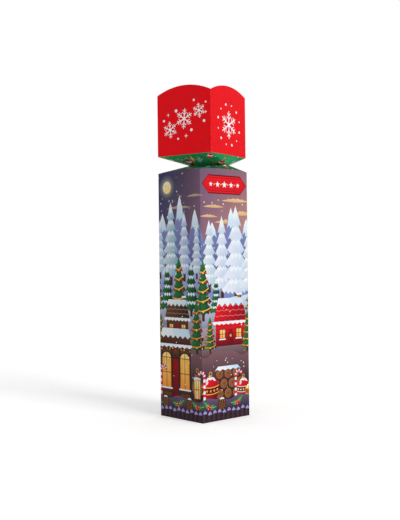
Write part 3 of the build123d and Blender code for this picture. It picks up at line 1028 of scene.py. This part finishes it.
def neck_green_painted_light(near, far):
    """A green that deepens from the waist out to the corners: painted light, brightest at the waist to offset
    the shade that falls there.
    """
    def paint(x, y):
        return mix(near, far, clamp((math.dist((x, y), WAIST_CENTRE) - PAINTED_LIGHT_START) / PAINTED_LIGHT_RUN))
    return paint


def neck_motif(kind, size):
    flat = Print(None)
    if kind == 0:
        star(flat, 0, 0, size, GOLD)
        star(flat, 0, 0, size * 0.6, GLOW)
    elif kind == 1:
        ball = Stamp(flat, 0, 0, size, size)
        ball.oval(0, 0, 1, RED, sides=24)
        ball.lay(BAUBLE_BAND, WHITE)
        ball.box(-0.2, 0.95, 0.4, 0.2, GOLD)
    elif kind == 2:
        snowflake(flat, 0, 0, size, WHITE)
    else:
        holly(flat, 0, 0, size * 0.9)
    return flat.shapes


def neck_print(neck, green, upright, motifs, size):
    """Fir green with its painted light, brushed with needles, with stars, baubles, flakes and holly standing
    towards the flare.
    """
    art = Print(green)
    for _ in range(NEEDLES):
        x, y = dice.uniform(*NEEDLE_FIELD), dice.uniform(*NEEDLE_FIELD)
        angle = math.atan2(y, x) + dice.uniform(*NEEDLE_LEAN)
        tone = mix(green(x, y), dice.choice((FIR, FIR_DARK, NEEDLE, LEAF)), dice.uniform(*NEEDLE_TINT))
        length = dice.uniform(*NEEDLE_LENGTH)
        ends = [(x, y), *arc(x, y, length, length, [angle])]
        art.lay(strip(ends, dice.uniform(*NEEDLE_WIDTH), NEEDLE_TIP), tone)
    for _ in range(NECK_DOTS):
        spot = (dice.uniform(*DOT_FIELD), dice.uniform(*DOT_FIELD))
        art.lay(oval(*spot, dice.uniform(*DOT_RADII), sides=8), dice.choice((WHITE, WHITE, AMBER)))
    for start, end in zip(WAIST, WAIST[1:] + WAIST[:1]):
        dashes = round(math.dist(start, end) / DASH_PITCH)
        side = Stamp(art, *start, end[0] - start[0], end[1] - start[1])
        for k in range(dashes):
            ways = [(k + share) / dashes for share in DASH_SPAN]
            art.lay(strip([side.at(way, way) for way in ways], DASH_WIDTH), FIR_DARK)
    lift = SLOPE_STRETCH * upright
    for k in range(motifs):
        angle = 2 * math.pi * (k + 0.35) / motifs
        local = turned((math.cos(angle), math.sin(angle)), -neck.tube.turn)
        edge = neck.tube.side / 2 / max(abs(local[0]), abs(local[1]))
        reach = edge - size * SLOPE_STRETCH * 1.2 - EDGE_CLEARANCE - (k % 2) * SECOND_ROW
        for points, paint in neck_motif(MOTIF_ORDER[k % len(MOTIF_ORDER)], size):
            seat = [turned((reach + b * lift, a * upright), angle) for a, b in points]
            art.lay(seat, paint(0, 0) if callable(paint) else paint)
    return art


def neck_piece(name, neck, art, sign, materials):
    """Half of the neck as one folded card; sign is the way from its printed face to its inside."""
    tube = neck.tube
    marks = [s for s in tube.stations() if s < tube.end - SLACK]

    def loop(depth):
        return [tube.place(s, depth)[0] for s in marks]

    def key(p):
        return (round(p[0], 3), round(p[1], 3))
    outline_out, outline_in, strip_line = loop(0), loop(BOARD), loop(CREASE_STRIP)
    edge_out, edge_in = ({key(p): s for s, p in zip(marks, line)} for line in (outline_out, outline_in))

    def seat(edge, lift):
        def put(x, y):
            s = edge.get(key((x, y)))
            z = neck.height((x, y)) if s is None else neck.edge_height(s)
            return (x, y, z + lift), None
        return put

    def shade(x, y):
        return 1.0 if key((x, y)) in edge_out else 0.0
    guides = neck.fold_lines(0) + [strip_line + strip_line[:1]]
    outer = triangulate(outline_out, WAIST, guides, art)
    inner = triangulate(outline_in, WAIST, neck.fold_lines(BOARD), Print(BOARD_WHITE))
    # The cut edge at the waist is inked in the neck green darkened towards FIR_DARK: painted shade where the
    # two halves meet
    tear = mix(art.base(*WAIST_CENTRE), FIR_DARK, 0.4)
    cuts = [(outline_out[0], outline_in[0], None), (WAIST[0], WAIST[0], tear)]
    return card_piece(name, outer, inner, cuts, seat(edge_out, 0), seat(edge_in, sign * BOARD), shade,
                      sign > 0, materials)


# Materials; noise scales are in waves per metre, bump distances in metres

class Shader:
    """A material's nodes, with short calls to add and join them."""

    def __init__(self, name):
        self.material = bpy.data.materials.new(name)
        self.material.use_nodes = True
        self.tree = self.material.node_tree
        self.surface = self.tree.nodes["Principled BSDF"]
        self.place = self.add("ShaderNodeTexCoord").outputs["Object"]

    def add(self, kind, settings=None, **inputs):
        node = self.tree.nodes.new(kind)
        for key, value in (settings or {}).items():
            setattr(node, key, value)
        for key, value in inputs.items():
            self.feed(node.inputs[key.replace("_", " ")], value)
        return node

    def feed(self, socket, value):
        if isinstance(value, bpy.types.NodeSocket):
            self.tree.links.new(value, socket)
        else:
            socket.default_value = value

    def noise(self, scale, detail=3.0, roughness=0.55, distortion=0.0):
        return self.add("ShaderNodeTexNoise", Vector=self.place, Scale=scale, Detail=detail,
                        Roughness=roughness, Distortion=distortion).outputs["Fac"]

    def spread(self, value, low, high, to_low=0.0, to_high=1.0):
        return self.add("ShaderNodeMapRange", Value=value, From_Min=low, From_Max=high,
                        To_Min=to_low, To_Max=to_high).outputs["Result"]

    def math(self, operation, first, second):
        node = self.add("ShaderNodeMath", {"operation": operation})
        self.feed(node.inputs[0], first)
        self.feed(node.inputs[1], second)
        return node.outputs[0]

    def blend(self, share, first, second):
        node = self.add("ShaderNodeMix", {"data_type": "RGBA"})
        self.feed(node.inputs[0], share)
        for socket, value in zip([s for s in node.inputs if s.type == "RGBA"], (first, second)):
            self.feed(socket, (*value, 1.0) if isinstance(value, tuple) else value)
        return next(s for s in node.outputs if s.type == "RGBA")

    def tint(self, value, low, high, first, second, most=1.0):
        """A colour that moves over a range of value, by at most that share, to the second colour."""
        return self.blend(self.spread(value, low, high, 0.0, most), first, second)

    def bump(self, height, distance, strength, under=None):
        node = self.add("ShaderNodeBump", Height=height, Distance=distance, Strength=strength)
        if under:
            self.feed(node.inputs["Normal"], under)
        return node.outputs["Normal"]

    def finish(self, **inputs):
        for key, value in inputs.items():
            value = (*value, 1.0) if isinstance(value, tuple) else value
            self.feed(self.surface.inputs[key.replace("_", " ")], value)
        return self.material


PRESS_GREY = (0.02, 0.02, 0.03)
BRIGHT = (1.0, 1.0, 1.0)
MOTTLE_SCALE = 140.0
FIBRE_SCALE = 1500.0
PRINT_GLOSS = 0.04


def printed_card(name, sheen):
    """Coated board: the print, faint press mottle, cracked ink on the folds, a satin varnish."""
    shader = Shader(name)
    ink_layer = shader.add("ShaderNodeVertexColor", {"layer_name": "print"}).outputs["Color"]
    wear = shader.add("ShaderNodeAttribute", {"attribute_name": "crease"}).outputs["Fac"]
    fibre = shader.noise(2600.0, 4.0, 0.6)
    mottle = shader.noise(MOTTLE_SCALE)
    crack = shader.spread(shader.math("MULTIPLY", wear, shader.noise(FIBRE_SCALE, 4.0, 0.7)), 0.46, 0.6)
    toned = shader.tint(mottle, 0.35, 0.7, ink_layer, PRESS_GREY, 0.09)
    fibrous = shader.tint(fibre, 0.5, 0.8, toned, BRIGHT, 0.025)
    worn = shader.blend(shader.math("MULTIPLY", crack, 0.3), fibrous, BOARD_WHITE)
    wave = shader.bump(shader.noise(28.0, 1.0), 0.0006, 0.5)
    normal = shader.bump(fibre, 0.00003, 0.5, wave)
    rough = shader.spread(mottle, 0.2, 0.8, sheen - 0.05, sheen + 0.07)
    return shader.finish(Base_Color=worn, Roughness=rough, Normal=normal, Specular_IOR_Level=PRINT_GLOSS)


def raw_board(name, tone, fleck):
    """Uncoated inside of the board: grey-white with fibres and flecks."""
    shader = Shader(name)
    fibre = shader.noise(FIBRE_SCALE, 5.0, 0.65, 1.2)
    flecks = shader.noise(900.0, 2.0)
    tinted = shader.tint(fibre, 0.3, 0.75, tone, mix(tone, fleck, 0.6), 0.35)
    specked = shader.tint(flecks, 0.68, 0.74, tinted, fleck, 0.5)
    return shader.finish(Base_Color=specked, Roughness=shader.spread(fibre, 0.2, 0.8, 0.72, 0.9),
                         Normal=shader.bump(fibre, 0.00006, 0.6), Specular_IOR_Level=0.2)


def lined_board(name, axis, tone):
    """Board printed plainly on the side that faces down an axis (0, 1 or 2), and bare on the other."""
    shader = Shader(name)
    facing = shader.add("ShaderNodeTexCoord").outputs["Normal"]
    down = shader.add("ShaderNodeSeparateXYZ", Vector=facing).outputs[axis]
    printed = shader.spread(down, -0.6, -0.4, 1.0, 0.0)
    fibre = shader.noise(FIBRE_SCALE, 5.0, 0.65, 1.2)
    mottle = shader.noise(MOTTLE_SCALE)
    bare = shader.tint(fibre, 0.3, 0.75, BOARD_WHITE, mix(BOARD_WHITE, BARK, 0.4), 0.35)
    inked = shader.tint(mottle, 0.3, 0.75, tone, mix(tone, BARK_DARK, 0.2))
    rough = shader.spread(printed, 0.0, 1.0, 0.8, 0.45)
    return shader.finish(Base_Color=shader.blend(printed, bare, inked), Roughness=rough,
                         Normal=shader.bump(fibre, 0.00004, 0.5), Specular_IOR_Level=0.15)


def foil(name, tone, shade):
    """Metallised sweet wrapper, crumpled, with a worn dull patch here and there, and painted shade darkening
    the crumple's hollows.
    """
    shader = Shader(name)
    crumple = shader.noise(420.0, 4.0, 0.6, 0.8)
    dull = shader.noise(160.0, 2.0)
    # Painted shade: the colour goes to the darker tone where the crumple bump is low
    crumple_shaded = shader.tint(crumple, 0.3, 0.7, shade, tone)
    rough = shader.spread(dull, 0.3, 0.7, 0.2, 0.4)
    return shader.finish(Base_Color=crumple_shaded, Metallic=0.85, Roughness=rough,
                         Normal=shader.bump(crumple, 0.0006, 0.8))


def chocolate_mass(name):
    shader = Shader(name)
    bloom = shader.noise(260.0)
    tone = shader.tint(bloom, 0.4, 0.75, ink(74, 40, 24), ink(110, 68, 46), 0.5)
    return shader.finish(Base_Color=tone, Roughness=shader.spread(bloom, 0.3, 0.7, 0.35, 0.55),
                         Normal=shader.bump(shader.noise(900.0), 0.0002, 0.4))


def soft_paper(name, tone, shade, glow):
    """Thin paper with fine crepe lines, darkened along the crepe bump as painted shade."""
    shader = Shader(name)
    crepe = shader.add("ShaderNodeTexWave", {"wave_type": "BANDS", "bands_direction": "Z"},
                       Vector=shader.place, Scale=260.0, Distortion=6.0, Detail=3.0).outputs["Fac"]
    cloudy = shader.noise(240.0, 4.0)
    toned = shader.tint(cloudy, 0.3, 0.75, tone, shade)
    # Painted shade: the crepe bands that bump the paper are also darkened
    crepe_shaded = shader.blend(shader.math("MULTIPLY", crepe, 0.18), toned, shade)
    return shader.finish(Base_Color=crepe_shaded, Roughness=shader.spread(cloudy, 0.2, 0.8, 0.7, 0.9),
                         Normal=shader.bump(crepe, 0.00012, 0.5), Specular_IOR_Level=0.2,
                         Subsurface_Weight=glow)


body_card = printed_card("printed_body", 0.42)
neck_card = printed_card("green_neck", 0.42)
flare_card = printed_card("red_flare", 0.4)
inside_board = raw_board("board_inside", BOARD_WHITE, ink(150, 140, 122))
snap_card = raw_board("snap_card", ink(176, 138, 96), ink(92, 64, 40))
gold_foil = foil("gold_wrap", ink(240, 190, 84), ink(190, 130, 40))
red_foil = foil("red_wrap", ink(220, 30, 44), ink(150, 12, 26))
green_foil = foil("green_wrap", ink(40, 150, 80), ink(16, 96, 50))
chocolate = chocolate_mass("chocolate")
tissue = soft_paper("tissue", ink(214, 44, 84), ink(180, 24, 62), 0.15)
motto_paper = soft_paper("motto_paper", ink(246, 244, 236), ink(228, 224, 212), 0.05)
band_paper = soft_paper("band_paper", ink(222, 178, 84), ink(184, 134, 48), 0.05)
base_board = lined_board("base_board", 2, GROUND)
tongue_board = lined_board("tongue_board", 1, GROUND)


# The folded card pieces

BODY_ROWS, BODY_CHART_ROWS = 20, 1
FLARE_ROWS, FLARE_CHART_ROWS = 8, 2
LOWER_MOTIFS, LOWER_MOTIF_SIZE = 8, 2.0
UPPER_MOTIFS, UPPER_MOTIF_SIZE = 20, 2.9
FACES = ("front", "right", "back", "left")
CORNERS = ("front_left", "front_right", "back_right", "back_left")


def stand_for(piece, body_name, slot, *nodes):
    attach(piece, body_name)
    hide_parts(*nodes)


def fold_body(tube):
    """The body sleeve, whose back panel stops above the hinged bottom flap."""
    def foot(s):
        return BACK_FOOT if s > 2 * SIDE else 0.0
    sleeve = tube_piece("body_sleeve", tube, body_print(), foot, BOARD, 0.0, BODY_ROWS, BODY_CHART_ROWS,
                        (body_card, inside_board))
    stand_for(sleeve, "carton", "printed_body", *[f"{face}_panel" for face in FACES])


def fold_flare(tube):
    def foot(s):
        return 0.0
    sleeve = tube_piece("flare_sleeve", tube, flare_print(), foot, 0.0, BOARD, FLARE_ROWS, FLARE_CHART_ROWS,
                        (flare_card, inside_board))
    stand_for(sleeve, "top", "red_flare", *[f"flare_{face}" for face in FACES])


def fold_neck(half, neck, art, body_name, sign):
    piece = neck_piece(f"{half}_neck", neck, art, sign, (neck_card, inside_board))
    facets = [f"{half}_neck_{face}" for face in FACES]
    gussets = [f"{half}_gusset_{corner}" for corner in CORNERS]
    stand_for(piece, body_name, "green_neck", *facets, *gussets)


body = Tube(SIDE, 0.0, 0.0, CREASE_RISE, BODY_HEIGHT)
flare = Tube(FLARE_SIDE, FLARE_TURN, FLARE_BASE, SCALLOP_RISE, FLARE_HEIGHT)
lower_neck = Neck(body, BODY_HEIGHT, WAIST_LEVEL - TEAR_GAP / 2, True)
upper_neck = Neck(flare, FLARE_BASE, WAIST_LEVEL + TEAR_GAP / 2, False)
fold_body(body)
fold_flare(flare)
# Painted light and shade: the upper neck's green is printed lighter and the lower neck's darker
lower_green_painted_darker = neck_green_painted_light(ink(24, 134, 80), ink(16, 98, 60))
upper_green_painted_lighter = neck_green_painted_light(ink(80, 232, 152), ink(26, 156, 96))
lower_print = neck_print(lower_neck, lower_green_painted_darker, -1, LOWER_MOTIFS, LOWER_MOTIF_SIZE)
upper_print = neck_print(upper_neck, upper_green_painted_lighter, 1, UPPER_MOTIFS, UPPER_MOTIF_SIZE)
fold_neck("lower", lower_neck, lower_print, "carton", -1)
fold_neck("upper", upper_neck, upper_print, "top", 1)


# Finishes of the pieces that keep their CAD shape

def paint_nodes(material, *names):
    for name in names:
        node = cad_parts[name]
        node.data.materials.clear()
        node.data.materials.append(material)


paint_nodes(inside_board, "side_seam_flap", "flare_seam_flap")
paint_nodes(base_board, "bottom_flap", "dust_flap_left", "dust_flap_right")
paint_nodes(tongue_board, "tuck_tongue")
paint_nodes(snap_card, "snap_upper_strip", "snap_lower_strip", "snap_sleeve")
paint_nodes(chocolate, "chocolates")
paint_nodes(band_paper, "motto_band")


# The soft filling: foil sweets, tissue crown and rolled motto

SHARP_ANGLE = math.radians(50)


def slab(name, rows, columns, seat, offsets, wrap, material):
    """Closed mesh of a thin sheet with two faces; wrap joins the ends of each row.

    seat takes an entry of rows, one of columns and a face's offset to a point in mm.
    """
    points = [Vector(seat(r, c, offset)) * MM for offset in offsets for r in rows for c in columns]
    rows, columns = len(rows), len(columns)
    shift = rows * columns
    spans = range(columns if wrap else columns - 1)

    def at(row, column):
        return row * columns + column % columns
    faces = []
    for row in range(rows - 1):
        for column in spans:
            quad = [at(row, column), at(row, column + 1), at(row + 1, column + 1), at(row + 1, column)]
            faces += [quad, [k + shift for k in reversed(quad)]]
    last = rows - 1
    edges = [(at(0, k + 1), at(0, k)) for k in spans] + [(at(last, k), at(last, k + 1)) for k in spans]
    if not wrap:
        for row in range(last):
            edges += [(at(row, 0), at(row + 1, 0)), (at(row + 1, columns - 1), at(row, columns - 1))]
    faces += [(a, b, b + shift, a + shift) for a, b in edges]
    mesh = bpy.data.meshes.new(name)
    mesh.from_pydata(points, [], faces)
    shell = bmesh.new()
    shell.from_mesh(mesh)
    bmesh.ops.recalc_face_normals(shell, faces=shell.faces)
    shell.to_mesh(mesh)
    shell.free()
    mesh.shade_smooth()
    mesh.set_sharp_from_angle(angle=SHARP_ANGLE)
    mesh.materials.append(material)
    return add_piece(name, mesh)


def corners_mm(node):
    return [[c / MM for c in corner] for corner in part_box(node)]


def eased(keys, place):
    """Smooth curve through (place, value) keys."""
    k = next(k for k in range(len(keys) - 1) if place <= keys[k + 1][0] + TINY)
    (a, first), (b, second) = keys[k], keys[k + 1]

    def slope(j):
        low, high = keys[max(0, j - 1)], keys[min(len(keys) - 1, j + 1)]
        return (high[1] - low[1]) / (high[0] - low[0])
    run, t = b - a, (place - a) / (b - a)
    return ((2 * t ** 3 - 3 * t ** 2 + 1) * first + (t ** 3 - 2 * t ** 2 + t) * run * slope(k)
            + (3 * t ** 2 - 2 * t ** 3) * second + (t ** 3 - t ** 2) * run * slope(k + 1))


# Half of a wrapped sweet, from its middle to the tail's edge: radius and share of the pleats at distances
SWEET_RADII = ((0, 10.95), (11.4, 10.95), (13.2, 10.3), (14.8, 8.9), (16.4, 6.4), (18.8, 3.7), (21.2, 2.5),
               (22.6, 2.5), (24.6, 4.7), (26.6, 7.2), (28.3, 8.9))
SWEET_PLEATS = ((0, 0.0), (12.5, 0.0), (15.0, 0.1), (18.0, 0.34), (22.0, 0.36), (25.0, 0.3), (28.3, 0.26))
SWEET_STATIONS = (0, 3, 6, 9, 11.4, 12.4, 13.3, 14.1, 15, 16, 17, 18.2, 19.4, 20.6, 21.8, 22.8, 23.8, 24.8,
                  25.8, 27, 28.3)
SWEET_COLUMNS = 54
SWEETS = 12
FOIL = 0.12
PLEATS = 9
TURN = 2.4
TURN_START, TURN_RUN = 15, 10
CRINKLE, CRINKLE_ALONG, CRINKLE_ROUND, CRINKLE_STEP = 0.2, 0.3, 2.2, 7
PINKING = 0.5


def wrapped_sweet(number, slot, material):
    """Foil drawn in to a twist at each end, crinkled on the barrel and pleated in the fanned tails."""
    node = f"sweet_wrapper_{number:02d}"
    low, high = corners_mm(node)
    cx, cy, cz = [(a + b) / 2 for a, b in zip(low, high)]
    lengthwise = high[0] - low[0] > high[1] - low[1]
    stations = [-x for x in reversed(SWEET_STATIONS[1:])] + list(SWEET_STATIONS)

    def seat(station, column, inset):
        reach, end = abs(station), math.copysign(1, station)
        angle = 2 * math.pi * column / SWEET_COLUMNS
        twist = end * TURN * clamp((reach - TURN_START) / TURN_RUN)
        fold = 0.5 - 0.5 * math.cos(PLEATS * (angle + twist))
        round_spot, = arc(0, CRINKLE_STEP * number, CRINKLE_ROUND, CRINKLE_ROUND, [angle])
        spot = Vector((station * CRINKLE_ALONG, *round_spot))
        pleated = eased(SWEET_RADII, reach) * (1 - eased(SWEET_PLEATS, reach) * fold)
        radius = pleated - CRINKLE * abs(noise(spot)) - inset
        edge = PINKING * (column % 3) / 2 if reach == SWEET_STATIONS[-1] else 0.0
        x, y, z = station - end * edge, radius * math.cos(angle), radius * math.sin(angle)
        return (cx + x, cy + y, cz + z) if lengthwise else (cx - y, cy + x, cz + z)
    sweet = slab(f"sweet_{number:02d}", stations, range(SWEET_COLUMNS), seat, (0, FOIL), True, material)
    stand_for(sweet, "carton", slot, node)


CROWN_FOLDS = 5
CROWN_PITCH = 0.6
CROWN_POINTS = 4
CROWN_POINT_HEIGHT = 16.0
CROWN_STEPS, CROWN_ROWS = 32, 14
CROWN_INSET = 0.15
CROWN_BENDS = (0.8, 1.57, 2.34)
CROWN_LEAN = 1.4
RIPPLE_SHARE, RIPPLE_ACROSS, RIPPLE_UP = 0.45, 0.31, 0.04
TISSUE = 0.14


def folded_crown():
    """Tissue crown folded to and fro; the pack leans off the wall a little and ripples."""
    low, high = corners_mm("paper_crown")
    half, tall, turn = (high[0] - low[0]) / 2, high[2] - low[2], CROWN_PITCH / 2
    run = half - turn
    line = []
    for fold in range(CROWN_FOLDS):
        y, way = low[1] + CROWN_INSET + fold * CROWN_PITCH, 1 if fold % 2 == 0 else -1
        line += [((-1 + 2 * k / CROWN_STEPS) * run * way, y, 0.0, way) for k in range(CROWN_STEPS + 1)]
        if fold < CROWN_FOLDS - 1:
            line += [(way * (run + turn * math.sin(a)), y + turn * (1 - math.cos(a)), a, way)
                     for a in CROWN_BENDS]

    def seat(share, point, offset):
        x, y, bend, way = point
        saw = abs(((x + half) / (2 * half) * CROWN_POINTS) % 1 - 0.5) * 2
        z = share * (tall - CROWN_POINT_HEIGHT * saw)
        ripple = RIPPLE_SHARE * math.sin(RIPPLE_ACROSS * x + RIPPLE_UP * z)
        sway = CROWN_LEAN * (z / tall) ** 2 * (1 - RIPPLE_SHARE + ripple)
        return (x + offset * way * math.sin(bend), y - offset * math.cos(bend) * way + sway, low[2] + z)
    shares = [k / CROWN_ROWS for k in range(CROWN_ROWS + 1)]
    crown = slab("tissue_crown", shares, line, seat, (TISSUE / 2, -TISSUE / 2), False, tissue)
    stand_for(crown, "carton", "tissue", "paper_crown")


ROLL_TURNS = 3
ROLL_INNER = 1.55
ROLL_OUTER = 2.95
ROLL_SLIP = 0.4
ROLL_STEPS, ROLL_ROWS = 28 * ROLL_TURNS, 8
SLIP = 0.12


def rolled_motto():
    """Paper slip rolled up, its inner turns slipped a little endwise."""
    low, high = corners_mm("motto_slip")
    cx, cy, cz = [(a + b) / 2 for a, b in zip(low, high)]
    length = high[0] - low[0] - 2 * ROLL_SLIP

    def seat(place, share, offset):
        angle = 2 * math.pi * ROLL_TURNS * share
        radius = ROLL_INNER + (ROLL_OUTER - ROLL_INNER) * share + offset
        x = cx + place * length + ROLL_SLIP * (1 - 2 * share)
        return (x, cy + radius * math.cos(angle), cz + radius * math.sin(angle))
    places = [k / ROLL_ROWS - 0.5 for k in range(ROLL_ROWS + 1)]
    shares = [k / ROLL_STEPS for k in range(ROLL_STEPS + 1)]
    roll = slab("motto_roll", places, shares, seat, (SLIP / 2, -SLIP / 2), False, motto_paper)
    stand_for(roll, "carton", "motto_paper", "motto_slip")


wraps = (("gold_wrap", gold_foil), ("red_wrap", red_foil), ("green_wrap", green_foil))
for number in range(1, SWEETS + 1):
    wrapped_sweet(number, *wraps[(number - 1) % len(wraps)])
folded_crown()
rolled_motto()


# Floor, light and camera

VIEW_AZIMUTH = math.radians(48.0)
VIEW_DISTANCE = 0.808
VIEW_OFFSET = -0.0032
VIEW_HEIGHT = 0.1476
VIEW_ROLL = math.radians(-0.65)
LENS = 58.8
SENSOR = 36.0
CLIP_START = 0.01
FLOOR_HALF = 6.0
FLOOR_DROP = 0.0002
FLOOR_TONES = (0.86, 0.86, 0.86), (0.88, 0.88, 0.88)
FLOOR_GLOW = 0.34
AMBIENT = 0.56
KEY_POWER = 1.45
KEY_AZIMUTH = math.radians(4.0)
KEY_RISE = math.radians(30.0)
KEY_SPREAD = math.radians(24.0)


def backdrop_rays(tree):
    """1 for rays that show the backdrop itself: from the camera, in gloss and through glass."""
    path = tree.nodes.new("ShaderNodeLightPath")
    seen = path.outputs["Is Camera Ray"]
    for kind in ("Is Glossy Ray", "Is Transmission Ray"):
        either = tree.nodes.new("ShaderNodeMath")
        either.operation = "MAXIMUM"
        tree.links.new(seen, either.inputs[0])
        tree.links.new(path.outputs[kind], either.inputs[1])
        seen = either.outputs[0]
    return seen


def add_floor():
    mesh = bpy.data.meshes.new("floor")
    corners = box(-FLOOR_HALF, -FLOOR_HALF, 2 * FLOOR_HALF, 2 * FLOOR_HALF)
    mesh.from_pydata([(x, y, -FLOOR_DROP) for x, y in corners], [], [(0, 1, 2, 3)])
    shader = Shader("floor_paper")
    tone = shader.tint(shader.noise(40.0), 0.3, 0.7, *FLOOR_TONES)
    glow = shader.math("MULTIPLY", backdrop_rays(shader.tree), FLOOR_GLOW)
    mesh.materials.append(shader.finish(Base_Color=tone, Roughness=0.9, Specular_IOR_Level=0.1,
                                        Emission_Color=BRIGHT, Emission_Strength=glow))
    add_piece("floor", mesh)


def add_light():
    world = bpy.data.worlds.new("studio")
    bpy.context.scene.world = world
    world.use_nodes = True
    tree = world.node_tree
    background = tree.nodes["Background"]
    background.inputs["Color"].default_value = (*BRIGHT, 1.0)
    level = tree.nodes.new("ShaderNodeMapRange")
    level.inputs["To Min"].default_value = AMBIENT
    level.inputs["To Max"].default_value = 1.0
    tree.links.new(backdrop_rays(tree), level.inputs["Value"])
    tree.links.new(level.outputs["Result"], background.inputs["Strength"])
    lamp = bpy.data.lights.new("key", "SUN")
    lamp.angle = KEY_SPREAD
    lamp.energy = KEY_POWER
    key = add_piece("key", lamp)
    level_way = math.cos(KEY_RISE)
    way = Vector((math.cos(KEY_AZIMUTH) * level_way, math.sin(KEY_AZIMUTH) * level_way, math.sin(KEY_RISE)))
    key.rotation_euler = way.to_track_quat("Z", "Y").to_euler()


def add_camera():
    toward = Vector((math.sin(VIEW_AZIMUTH), -math.cos(VIEW_AZIMUTH), 0))
    across = Vector((math.cos(VIEW_AZIMUTH), math.sin(VIEW_AZIMUTH), 0))
    lens = bpy.data.cameras.new("view")
    lens.lens = LENS
    lens.sensor_width = SENSOR
    lens.clip_start = CLIP_START
    level = Matrix((across, Vector((0, 0, 1)), toward)).transposed().to_4x4()
    pose = level @ Matrix.Rotation(VIEW_ROLL, 4, "Z")
    pose.translation = toward * VIEW_DISTANCE + across * VIEW_OFFSET + Vector((0, 0, VIEW_HEIGHT))
    camera = add_piece("view", lens)
    camera.matrix_world = pose
    bpy.context.scene.camera = camera


add_floor()
add_light()
add_camera()
bpy.context.scene.view_settings.view_transform = "Standard"
